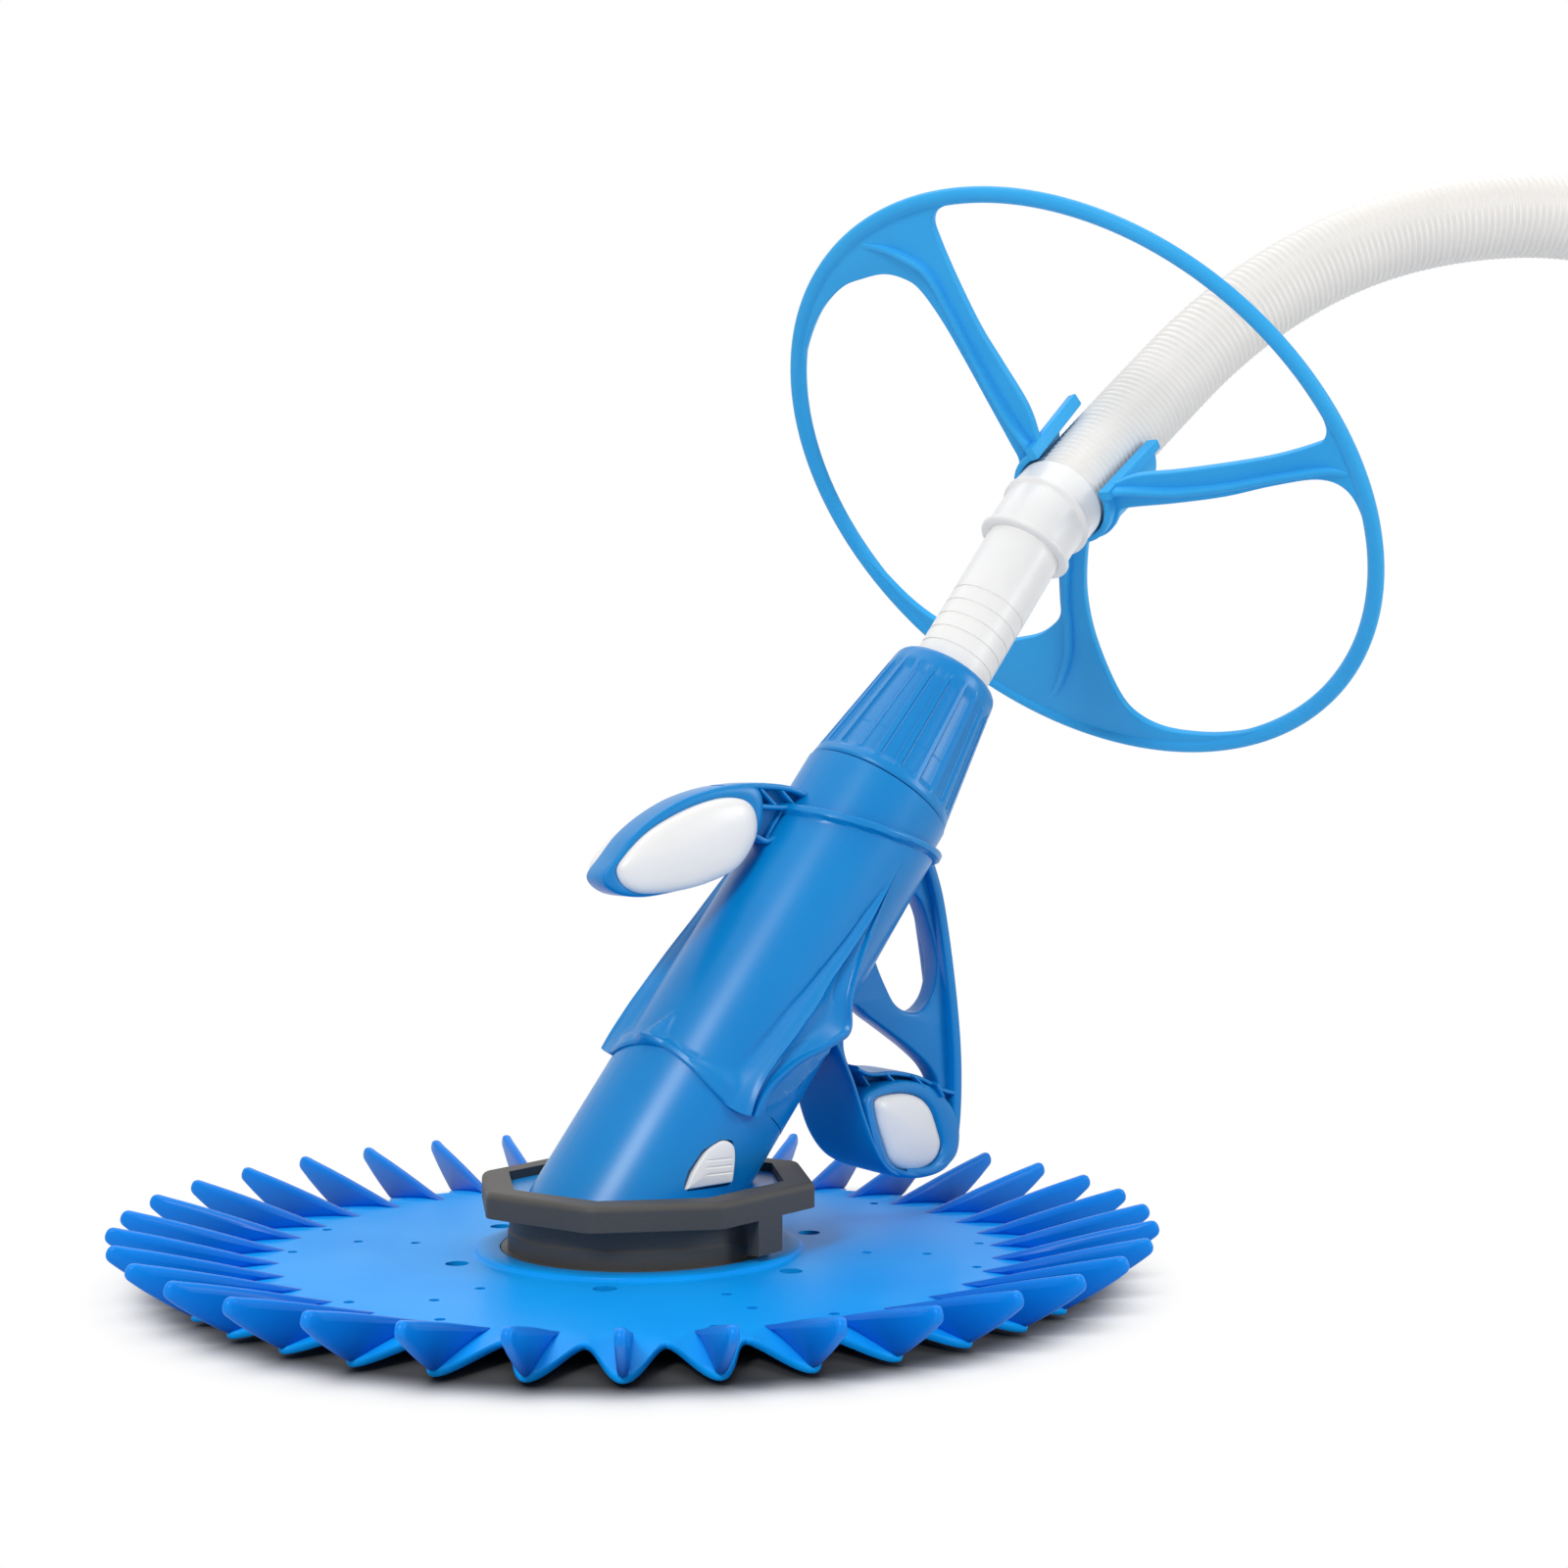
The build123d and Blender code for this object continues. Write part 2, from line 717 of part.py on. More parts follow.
def make_hose_cuff():
    """Soft cuff that takes the tube, bends and takes the hose end."""
    inner = tube_radius + running_gap
    start = bend_place - bend_reach
    sleeve = on_barrel(ring(inner, cuff_radius, cuff_bottom, start))
    lip = on_barrel(ring(inner, cuff_lip_radius, cuff_bottom, cuff_bottom + cuff_lip_length))
    first = barrel_plane.from_local_coords(Vector(0, 0, start))
    last = bend_point + hose_axis * bend_reach
    bend = TangentArc(first, last, tangent=barrel_plane.z_dir)
    section = Plane(origin=first, z_dir=barrel_plane.z_dir) * (Circle(cuff_radius) - Circle(inner))
    elbow = sweep(section, path=bend)
    outlet = Plane(origin=last, x_dir=wheel_plane.x_dir, z_dir=hose_axis)
    shoulder = outlet * ring(inner, cuff_ring_radius, -2, 0)
    socket = outlet * ring(hose_crest_radius + fit_gap, cuff_ring_radius, -2, cuff_ring_length)
    return sleeve + lip + elbow + shoulder + socket


def hose_route():
    """Centre line of the hose: straight through the wheel, over the arch and down to the floor."""
    points = [
        bend_point + hose_axis * bend_reach,
        bend_point + hose_axis * 78,
        Vector(350, -9, 462),
        Vector(428, -47, 505),
        Vector(522, -99, 512),
        Vector(646, -148, 466),
        Vector(726, -166, 352),
        Vector(761, -166, 217),
        Vector(830, -156, 95),
        Vector(949, -128, cuff_ring_radius),
        Vector(1064, -92, cuff_ring_radius),
    ]
    radii = []
    for before, here, after in zip(points, points[1:], points[2:]):
        turn = math.radians((here - before).get_angle(after - here))
        shorter = min((here - before).length, (after - here).length)
        radii.append(0.45 * shorter / math.tan(turn / 2))
    print("hose radii:", [round(radius) for radius in radii])
    return FilletPolyline(*points, radius=radii)


def hose_circle(route, share, radius):
    """Circle across the hose, with its X axis held level."""
    level = Vector(0.53, 0.848, 0)
    along = route % share
    across = level - along * level.dot(along)
    return Plane(origin=route @ share, x_dir=across, z_dir=along) * Circle(radius)


def make_hose():
    """Ribbed hose with its bore: four circles a rib, joined by straight walls."""
    route = hose_route()
    length = route.length
    print("hose length:", round(length, 1))
    pitch = (length - 2 * hose_plain_end) / hose_rib_count
    sections = [hose_circle(route, 0, hose_valley_radius)]
    for k in range(hose_rib_count):
        start = hose_plain_end + pitch * k
        for share, radius in (
            (0.10, hose_valley_radius),
            (0.25, hose_crest_radius),
            (0.70, hose_crest_radius),
            (0.85, hose_valley_radius),
        ):
            sections.append(hose_circle(route, (start + share * pitch) / length, radius))
    sections.append(hose_circle(route, 1, hose_valley_radius))
    ribs = loft(sections, ruled=True)
    steps = 160
    bore = loft([hose_circle(route, k / steps, hose_bore_radius) for k in range(steps + 1)], ruled=True)
    return ribs - bore


def make_far_cuff():
    """Socket at the far end of the hose, lying on the floor, for the next section's spigot."""
    route = hose_route()
    outlet = Plane(origin=route @ 1, z_dir=route % 1)
    bore_start = far_cuff_length - far_cuff_bore_length
    cuff = turned(
        (hose_bore_radius, 0),
        (cuff_radius, 0),
        (cuff_radius, bore_start),
        (cuff_ring_radius, bore_start),
        (cuff_ring_radius, far_cuff_length),
        (tube_radius + running_gap, far_cuff_length),
        (tube_radius + running_gap, bore_start),
        (hose_bore_radius, bore_start),
    )
    return outlet * cuff


def make_wheel():
    """Deflector wheel: round rim, three flared spokes and an open clip around the hose."""
    rim_centre = wheel_radius - rim_half_width
    rim = revolve(Plane.XZ * Pos(rim_centre, 0) * Ellipse(rim_half_width, rim_half_depth), Axis.Z)
    inner = cuff_ring_radius + hub_gap
    outer = inner + hub_wall
    hub_open_direction = (spoke_directions[0] + spoke_directions[1]) / 2
    hub_open_half_angle = (spoke_directions[1] - spoke_directions[0]) / 2
    web = Circle(rim_centre + 1) - Circle(rim_centre - 3)
    arm = Pos((rim_centre + outer) / 2, 0) * Rectangle(rim_centre - outer + 1, spoke_width)
    web = web + [Rot(0, 0, turn) * arm for turn in spoke_directions]
    for turn, flares in zip(spoke_directions, spoke_flare_radii):
        half_turn = math.degrees(math.asin(spoke_width / 2 / (rim_centre - 3)))
        for side, flare in zip((-half_turn, half_turn), flares):
            angle = math.radians(turn + side)
            corner = Vector(math.cos(angle), math.sin(angle)) * (rim_centre - 3)
            web = fillet(web.vertices().sort_by_distance(corner)[:1], flare)
    spokes = extrude(web, amount=spoke_thickness / 2, both=True)
    reach = rim_centre - 3 - outer
    rib = Pos(outer + reach / 2 - 0.5, 0, 0) * Box(reach, spoke_rib_width, spoke_rib_depth)
    spokes = spokes + [Rot(0, 0, turn) * rib for turn in spoke_directions]
    clip = ring(inner, outer, -hub_back, hub_front)
    spread = 60 * math.tan(math.radians(hub_open_half_angle - 4))
    gap = make_face(Polyline((0, 0), (60, -spread), (60, spread), close=True))
    clip = clip - Rot(0, 0, hub_open_direction) * Pos(0, 0, -100) * extrude(gap, amount=200)
    bar = Pos(inner + edge_bar_height / 2 + 1, 0, (hub_front - hub_back) / 2) * Box(
        edge_bar_height + 2, edge_bar_width, hub_front + hub_back
    )
    bar = bar - ring(0, inner, -100, 100)
    clip = clip + [Rot(0, 0, turn) * bar for turn in spoke_directions]
    return wheel_plane * (rim + spokes + clip)


def save(name, shape):
    """Write one node."""
    export_step(shape, f"parts/{name}.step")


save("finned_disc", make_finned_disc())
save("disc_bush", make_disc_bush())
save("foot_pad", make_foot_pad())
save("disc_retainer", make_disc_retainer())
save("foot_screws", make_foot_screws())
save("foot_neck", make_neck())
save("foot_collar", make_foot_collar())
save("barrel", make_barrel())
save("release_button_near", make_button(-1))
save("release_button_far", make_button(1))
save("button_spring_near", make_button_spring(-1))
save("button_spring_far", make_button_spring(1))
save("shroud", make_shroud())
save("top_arm", make_top_arm())
save("bottom_arm", make_bottom_arm())
save("top_pad", make_pad(top_leaf(), top_pad_half_width))
save("bottom_pad", make_pad(bottom_leaf(), bottom_pad_half_width))
save("diaphragm_seat", make_seat())
save("diaphragm", make_diaphragm())
save("diaphragm_clamp", make_clamp_ring())
save("swivel_bush", make_swivel_bush())
save("tube_seal", make_tube_seal())
save("swivel_tube", make_swivel_tube())
save("hand_nut", make_hand_nut())
save("hose_cuff", make_hose_cuff())
save("leader_hose", make_hose())
save("far_cuff", make_far_cuff())
save("deflector_wheel", make_wheel())
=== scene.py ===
import math
import bmesh
import bpy
import numpy as np
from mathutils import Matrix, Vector


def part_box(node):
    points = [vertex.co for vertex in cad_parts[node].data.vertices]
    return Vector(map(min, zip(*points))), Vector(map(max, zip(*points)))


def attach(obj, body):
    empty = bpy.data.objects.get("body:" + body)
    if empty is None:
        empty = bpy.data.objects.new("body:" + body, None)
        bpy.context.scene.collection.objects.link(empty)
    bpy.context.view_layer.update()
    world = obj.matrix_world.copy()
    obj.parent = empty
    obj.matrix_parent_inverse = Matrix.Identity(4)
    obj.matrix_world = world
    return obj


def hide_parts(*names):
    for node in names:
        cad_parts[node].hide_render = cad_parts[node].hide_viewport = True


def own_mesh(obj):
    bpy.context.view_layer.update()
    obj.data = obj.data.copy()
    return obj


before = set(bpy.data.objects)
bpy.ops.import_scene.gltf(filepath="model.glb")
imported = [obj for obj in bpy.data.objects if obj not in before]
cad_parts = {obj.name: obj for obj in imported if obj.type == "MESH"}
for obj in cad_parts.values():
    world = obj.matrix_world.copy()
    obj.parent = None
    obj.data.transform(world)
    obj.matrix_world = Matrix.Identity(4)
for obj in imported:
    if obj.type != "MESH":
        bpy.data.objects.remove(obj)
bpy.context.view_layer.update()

# Camera: level with the middle of the cleaner, on its left front, as the photograph was taken.
# A plain white sweep under and behind it, lit by soft boxes from above, the left and the right.
eye = bpy.data.objects.new("camera", bpy.data.cameras.new("camera"))
eye.data.sensor_width = 36
eye.data.lens = 52.425
eye.location = (-0.47607, -0.88170, 0.213)
eye.rotation_euler = (math.radians(90), 0, math.radians(-32))
bpy.context.collection.objects.link(eye)
bpy.context.scene.camera = eye
bpy.context.scene.view_settings.view_transform = "Standard"


def softbox(name, place, target, size, power):
    """Square area lamp of a given size, turned from its place towards a target."""
    lamp = bpy.data.lights.new(name, "AREA")
    lamp.size = size
    lamp.energy = power
    holder = bpy.data.objects.new(name, lamp)
    holder.location = place
    holder.rotation_euler = (Vector(target) - Vector(place)).to_track_quat("-Z", "Y").to_euler()
    bpy.context.collection.objects.link(holder)


softbox("top_light", (0.2, 0.5, 2.1), (0.05, 0.0, 0.1), 2.2, 23)
softbox("left_light", (-1.5, -1.1, 1.5), (0.1, 0.0, 0.25), 0.6, 24.5)
softbox("right_light", (1.4, -1.5, 0.8), (0.1, 0.0, 0.25), 0.6, 11)

world = bpy.data.worlds.new("white_room")
world.use_nodes = True
bpy.context.scene.world = world
sky = world.node_tree
room = sky.nodes["Background"]
room.inputs["Color"].default_value = (1, 1, 1, 1)
room.inputs["Strength"].default_value = 0.32
seen = sky.nodes.new("ShaderNodeBackground")
seen.inputs["Color"].default_value = (1, 1, 1, 1)


def combined(tree, operation, *sources):
    """Math node of a tree that works one operation on its sources; gives the result's socket."""
    node = tree.nodes.new("ShaderNodeMath")
    node.operation = operation
    for source, socket in zip(sources, node.inputs):
        tree.links.new(source, socket)
    return node.outputs[0]


def ranged(tree, source, given, wanted=(0, 1), kind="LINEAR"):
    """Map Range node of a tree, from a given range to a wanted one; gives the result's socket."""
    node = tree.nodes.new("ShaderNodeMapRange")
    node.interpolation_type = kind
    for label, value in zip(("From Min", "From Max", "To Min", "To Max"), (*given, *wanted)):
        node.inputs[label].default_value = value
    tree.links.new(source, node.inputs["Value"])
    return node.outputs["Result"]


def mixed_surface(tree, share, first, second, output):
    """Mix of two shaders by a share, led to the surface of the tree's output node."""
    node = tree.nodes.new("ShaderNodeMixShader")
    for source, socket in zip((share, first.outputs[0], second.outputs[0]), node.inputs):
        tree.links.new(source, socket)
    tree.links.new(node.outputs[0], tree.nodes[output].inputs["Surface"])


def background_rays(tree):
    """Largest of Light Path's camera, glossy and transmission marks: 1 where a ray shows the background."""
    marks = tree.nodes.new("ShaderNodeLightPath").outputs
    mirrored = combined(tree, "MAXIMUM", marks["Is Glossy Ray"], marks["Is Transmission Ray"])
    return combined(tree, "MAXIMUM", marks["Is Camera Ray"], mirrored)


mixed_surface(sky, background_rays(sky), room, seen, "World Output")

# The sweep is white paper; it darkens under the disc, where the photograph has its contact shade.
sweep_paint = bpy.data.materials.new("sweep_paint")
sweep_paint.use_nodes = True
sweep = sweep_paint.node_tree
paper = sweep.nodes["Principled BSDF"]
paper.inputs["Roughness"].default_value = 0.9
paper.inputs["Specular IOR Level"].default_value = 0.1
away = sweep.nodes.new("ShaderNodeVectorMath")
away.operation = "DISTANCE"
away.inputs[1].default_value = (0, 0, 0)
sweep.links.new(sweep.nodes.new("ShaderNodeTexCoord").outputs["Object"], away.inputs[0])
# Painted shadow: the paper's colour is dark grey out to 0.19 m from the disc's middle and turns white by
# 0.224 m.
painted_shadow_tone = ranged(sweep, away.outputs["Value"], (0.190, 0.224), (0.06, 0.86), "SMOOTHSTEP")
sweep.links.new(painted_shadow_tone, paper.inputs["Base Color"])
fade = ranged(sweep, away.outputs["Value"], (0.200, 0.238), kind="SMOOTHSTEP")
white_share = combined(sweep, "MULTIPLY", background_rays(sweep), fade)
mixed_surface(sweep, white_share, paper, sweep.nodes.new("ShaderNodeEmission"), "Material Output")
floor_mesh = bpy.data.meshes.new("floor")
floor_mesh.from_pydata([(-9, -9, 0), (9, -9, 0), (9, 9, 0), (-9, 9, 0)], [], [(0, 1, 2, 3)])
floor_mesh.materials.append(sweep_paint)
floor = bpy.data.objects.new("floor", floor_mesh)
bpy.context.collection.objects.link(floor)

# Leader hose: white vinyl tube wound with fine ribs, one section long, pushed in the bent cuff.
# It leaves through the wheel, arches over and comes down to the floor, where its end cuff lies.
lean = math.radians(54)
up_lean = np.array([math.cos(lean), 0, math.sin(lean)])
top_lean = np.array([-math.sin(lean), 0, math.cos(lean)])
side_lean = np.array([0.0, -1.0, 0.0])
lean_start = np.array([0, 0, 35.0])
hose_axis = np.array([0.757, 0.145, 0.636])
hose_axis = hose_axis / np.linalg.norm(hose_axis)
bend_along = 377
bend_point = lean_start + bend_along * up_lean
hose_start = 8
hose_points = np.array(
    [
        bend_point + hose_start * hose_axis,
        bend_point + 78 * hose_axis,
        (350, -9, 462), (428, -47, 505), (522, -99, 512), (646, -148, 466), (726, -166, 352),
        (761, -166, 217), (830, -156, 95), (949, -128, 23.3), (1064, -92, 23.3),
    ]
)


def tint(red, green, blue):
    """Screen colour from 0 to 255 as a scene-linear colour."""
    share = np.array([red, green, blue]) / 255
    linear = np.where(share <= 0.04045, share / 12.92, ((share + 0.055) / 1.055) ** 2.4)
    return (*linear.tolist(), 1.0)


skin = bpy.data.node_groups.new("moulded_skin", "ShaderNodeTree")
for label, kind, value in (
    ("Color", "NodeSocketColor", (0.5, 0.5, 0.5, 1)),
    ("Shade", "NodeSocketColor", (0.4, 0.4, 0.4, 1)),
    ("Clouding", "NodeSocketFloat", 0.3),
    ("Grain", "NodeSocketFloat", 900.0),
    ("Roughness", "NodeSocketFloat", 0.35),
    ("Spread", "NodeSocketFloat", 0.08),
):
    socket = skin.interface.new_socket(label, in_out="INPUT", socket_type=kind)
    socket.default_value = value
skin.interface.new_socket("Color", in_out="OUTPUT", socket_type="NodeSocketColor")
skin.interface.new_socket("Roughness", in_out="OUTPUT", socket_type="NodeSocketFloat")
skin.interface.new_socket("Height", in_out="OUTPUT", socket_type="NodeSocketFloat")
nodes = skin.nodes
links = skin.links
given = nodes.new("NodeGroupInput").outputs
result = nodes.new("NodeGroupOutput").inputs
place = nodes.new("ShaderNodeTexCoord").outputs["Object"]
flow = nodes.new("ShaderNodeTexNoise")
flow.inputs["Scale"].default_value = 22
flow.inputs["Detail"].default_value = 3
links.new(place, flow.inputs["Vector"])
cloud = ranged(skin, flow.outputs["Fac"], (0.35, 0.7))
blend = nodes.new("ShaderNodeMix")
blend.data_type = "RGBA"
links.new(combined(skin, "MULTIPLY", cloud, given["Clouding"]), blend.inputs["Factor"])
links.new(given["Color"], blend.inputs["A"])
links.new(given["Shade"], blend.inputs["B"])
links.new(blend.outputs["Result"], result["Color"])
grain = nodes.new("ShaderNodeTexNoise")
grain.inputs["Detail"].default_value = 2
links.new(place, grain.inputs["Vector"])
links.new(given["Grain"], grain.inputs["Scale"])
links.new(grain.outputs["Fac"], result["Height"])
sway = combined(skin, "MULTIPLY_ADD", flow.outputs["Fac"], given["Spread"], given["Roughness"])
links.new(sway, result["Roughness"])


def moulded(name, colour, shade, roughness, grain_scale, bump, clouding=0.35, shine=0.5):
    """Moulded material: the skin group's colour, roughness and grain on one Principled shader."""
    paint = bpy.data.materials.new(name)
    paint.use_nodes = True
    tree = paint.node_tree
    shader = tree.nodes["Principled BSDF"]
    surface = tree.nodes.new("ShaderNodeGroup")
    surface.name = "skin"
    surface.node_tree = skin
    looks = {"Color": colour, "Shade": shade, "Clouding": clouding, "Grain": grain_scale,
             "Roughness": roughness}
    for label, value in looks.items():
        surface.inputs[label].default_value = value
    ripple = tree.nodes.new("ShaderNodeBump")
    ripple.inputs["Strength"].default_value = bump
    ripple.inputs["Distance"].default_value = 0.0004
    tree.links.new(surface.outputs["Color"], shader.inputs["Base Color"])
    tree.links.new(surface.outputs["Roughness"], shader.inputs["Roughness"])
    tree.links.new(surface.outputs["Height"], ripple.inputs["Height"])
    tree.links.new(ripple.outputs["Normal"], shader.inputs["Normal"])
    shader.inputs["Specular IOR Level"].default_value = shine
    return paint


def lattice(rows, cols, close_rows=False, close_cols=False):
    """Quads of a grid of points: each joins a point, its next in the row and the two of the next row."""
    row_count = rows if close_rows else rows - 1
    col_count = cols if close_cols else cols - 1
    row, col = np.meshgrid(np.arange(row_count), np.arange(col_count), indexing="ij")
    this_row = row * cols
    next_row = (row + 1) % rows * cols
    next_col = (col + 1) % cols
    quads = np.stack([this_row + col, this_row + next_col, next_row + next_col, next_row + col], -1)
    return quads.reshape(-1, 4)


def mesh_piece(name, points, faces, paint, body, sharp=50):
    """Closed piece from points in millimetres: faces turned outwards, smooth up to an edge angle."""
    mesh = bpy.data.meshes.new(name)
    mesh.from_pydata((np.asarray(points) / 1000).tolist(), [], [list(face) for face in faces])
    work = bmesh.new()
    work.from_mesh(mesh)
    bmesh.ops.remove_doubles(work, verts=work.verts, dist=1e-6)
    bmesh.ops.recalc_face_normals(work, faces=work.faces)
    work.to_mesh(mesh)
    work.free()
    mesh.shade_smooth()
    mesh.set_sharp_from_angle(angle=math.radians(sharp))
    mesh.materials.append(paint)
    piece = bpy.data.objects.new(name, mesh)
    bpy.context.collection.objects.link(piece)
    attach(piece, body)
    return piece


def framed(line):
    """Unit tangents of a line of points, and across and up directions kept level along it."""
    along = np.gradient(line, axis=0)
    along = along / np.linalg.norm(along, axis=1, keepdims=True)
    level_side = np.array([0.53, 0.848, 0])
    across = level_side - along * (along @ level_side)[:, None]
    across = across / np.linalg.norm(across, axis=1, keepdims=True)
    return along, across, np.cross(along, across)


def sleeve(line, outer, inner, steps, bore_step=1):
    """Tube wall round a line: outer radii out along it, inner radii back at every bore_step."""
    _, across, up = framed(line)
    turn = np.linspace(0, 2 * np.pi, steps, endpoint=False)
    ring = across[:, None] * np.cos(turn)[None, :, None] + up[:, None] * np.sin(turn)[None, :, None]
    outside = line[:, None] + ring * outer[:, None, None]
    back = np.append(np.arange(len(line) - 1, 0, -bore_step), 0)
    inside = (line[:, None] + ring * inner[:, None, None])[back]
    points = np.concatenate([outside, inside]).reshape(-1, 3)
    return points, lattice(len(line) + len(back), steps, True, True)


vinyl = moulded("hose_vinyl", tint(234, 231, 227), tint(225, 223, 220), 0.36, 700, 0.03)
white_plastic = moulded("white_plastic", tint(242, 241, 239), tint(234, 233, 232), 0.27, 900, 0.03)


def add_spline(curve, kind, places):
    """Spline of one kind through places, each with a weight of one."""
    spline = curve.splines.new(kind)
    spline.points.add(len(places) - 1)
    spline.points.foreach_set("co", np.column_stack([places, np.ones(len(places))]).ravel())
    return spline


def curve_mesh(curve):
    """Points and faces that Blender makes of a curve; the object that carries it is taken away again."""
    holder = bpy.data.objects.new("curve", curve)
    bpy.context.collection.objects.link(holder)
    bpy.context.view_layer.update()
    mesh = bpy.data.meshes.new_from_object(holder)
    points = np.empty(len(mesh.vertices) * 3)
    mesh.vertices.foreach_get("co", points)
    faces = [list(face.vertices) for face in mesh.polygons]
    bpy.data.objects.remove(holder)
    bpy.data.meshes.remove(mesh)
    return points.reshape(-1, 3), faces


route_curve = bpy.data.curves.new("hose_route", "CURVE")
route_curve.dimensions = "3D"
route_curve.resolution_u = 48
route_spline = add_spline(route_curve, "NURBS", hose_points / 1000)
route_spline.order_u = 3
route_spline.use_endpoint_u = True
route = curve_mesh(route_curve)[0] * 1000

run = np.concatenate([[0], np.cumsum(np.linalg.norm(np.diff(route, axis=0), axis=1))])
hose_length = run[-1]
rib_pitch = 3.4
rib_rings = 5
ring_count = int(hose_length / rib_pitch) * rib_rings
reach = np.linspace(0, hose_length, ring_count)
hose_line = np.stack([np.interp(reach, run, route[:, axis]) for axis in range(3)], -1)
plain_end = 6
ribbed = np.clip(np.minimum(reach, hose_length - reach) / plain_end - 0.5, 0, 1)
swell = 0.5 + 0.5 * np.cos(2 * np.pi * np.arange(ring_count) / rib_rings)
hose_outer = 20.2 + 1.0 * ribbed * swell
hose_inner = np.full(ring_count, 18.6)
hose_sides = 36
points, faces = sleeve(hose_line, hose_outer, hose_inner, hose_sides, rib_rings)
hose = mesh_piece("ribbed_hose", points, faces, vinyl, "body", 80)
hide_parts("leader_hose")

# End cuff of the hose: a stiff white socket on the floor that takes the next section's spigot.
# Moulded on the hose end, with a step, a thick mouth and rounded grip rings.


def eased(corners, radius, steps=5):
    """Closed outline with each corner replaced by a short curve that is tangent to both its sides."""
    corner = np.asarray(corners, float)
    back = np.roll(corner, 1, 0) - corner
    ahead = np.roll(corner, -1, 0) - corner
    back_length = np.linalg.norm(back, axis=1, keepdims=True)
    ahead_length = np.linalg.norm(ahead, axis=1, keepdims=True)
    room = 0.48 * np.minimum(back_length, ahead_length)
    cut = np.minimum(np.broadcast_to(np.reshape(radius, (-1, 1)), room.shape), room)
    first = corner + back / back_length * cut
    last = corner + ahead / ahead_length * cut
    t = np.linspace(0, 1, steps)[:, None, None]
    curve = (1 - t) ** 2 * first + 2 * t * (1 - t) * corner + t**2 * last
    return curve.transpose(1, 0, 2).reshape(-1, 2)


def spun(outline, start, across, up, axis, steps=96):
    """Ring spun about an axis: a closed outline of (radius, height) carried through a full turn."""
    turn = np.linspace(0, 2 * np.pi, steps, endpoint=False)
    radial = np.outer(np.cos(turn), across) + np.outer(np.sin(turn), up)
    points = start + radial[:, None] * outline[None, :, :1] + axis * outline[None, :, 1:]
    return points.reshape(-1, 3), lattice(steps, len(outline), True, True)


end_along, end_across, end_up = (part[-1] for part in framed(hose_line))
end_outline = eased(
    [
        (18.7, 0.2), (21.2, 0.2), (21.5, 6), (21.5, 20), (23.2, 22), (23.2, 34), (22.4, 35), (22.4, 37),
        (23.2, 38), (23.2, 44), (22.4, 45), (22.4, 47), (23.2, 48), (23.2, 61.8), (19.2, 61.8),
        (19.1, 22), (18.7, 21),
    ],
    1.2,
)
points, faces = spun(end_outline, hose_line[-1], end_across, end_up, end_along)
end_cuff = mesh_piece("hose_end_cuff", points, faces, white_plastic, "body")
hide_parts("far_cuff")

# Bent cuff: a soft white elbow that grips the swivel tube below and holds the hose end above.
# One moulding, with a rounded bead at its lower mouth and a thicker beaded ring at the hose.
cuff_start = lean_start + 361 * up_lean
cuff_bend = lean_start + 369 * up_lean
cuff_exit = bend_point + hose_start * hose_axis
t = np.linspace(0, 1, 30)[:, None]
cuff_line = np.concatenate(
    [
        cuff_start + up_lean * np.linspace(0, 7.4, 32)[:, None],
        (1 - t) ** 2 * cuff_bend + 2 * t * (1 - t) * bend_point + t**2 * cuff_exit,
        cuff_exit + hose_axis * np.linspace(0.3, 14, 60)[:, None],
    ]
)
cuff_run = np.concatenate([[0], np.cumsum(np.linalg.norm(np.diff(cuff_line, axis=0), axis=1))])
cuff_end = cuff_run[-1]
ring_start = cuff_end - 15.5
bead_at = [0, 0.35, 0.9, 1.4, 2.4, 2.9, 3.3, 3.5]
bead_radius = [22.0, 22.9, 23.4, 23.6, 23.6, 23.3, 22.5, 21.7]
ring_at = ring_start + np.array([-1.0, -0.8, -0.3, 0.2, 1.2, 1.8, 2.1, 2.4])
ring_radius = [21.7, 21.8, 23.4, 23.9, 23.9, 23.6, 23.2, 23.0]
mouth_at = cuff_end - np.array([1.0, 0.3, 0])
mouth_radius = [23.0, 22.6, 21.6]
cuff_outer = np.interp(
    cuff_run, [*bead_at, *ring_at, *mouth_at], [*bead_radius, *ring_radius, *mouth_radius]
)
cuff_inner = np.where(cuff_run > ring_start + 1.5, 21.25, 19.1)
points, faces = sleeve(cuff_line, cuff_outer, cuff_inner, 72)
cuff = mesh_piece("bent_cuff", points, faces, white_plastic, "body", 60)
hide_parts("hose_cuff")

# Foot: a rubber sole with its inlet lip, a plastic retainer under the disc, and a rubber neck.
# The neck is a plain turned ring with a faint step half way; the disc turns on it.
black_rubber = moulded("black_rubber", tint(63, 60, 57), tint(73, 71, 68), 0.56, 1400, 0.25, 0.5)
grey_plastic = moulded("grey_plastic", tint(84, 86, 90), tint(74, 76, 80), 0.42, 900, 0.05)
steel = moulded("brushed_steel", tint(196, 196, 200), tint(170, 170, 176), 0.3, 400, 0.15)
steel.node_tree.nodes["Principled BSDF"].inputs["Metallic"].default_value = 1.0


def dress(paint, *names):
    """Give solids of the frame a finish in place of their plain one."""
    for name in names:
        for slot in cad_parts[name].material_slots:
            slot.material = paint


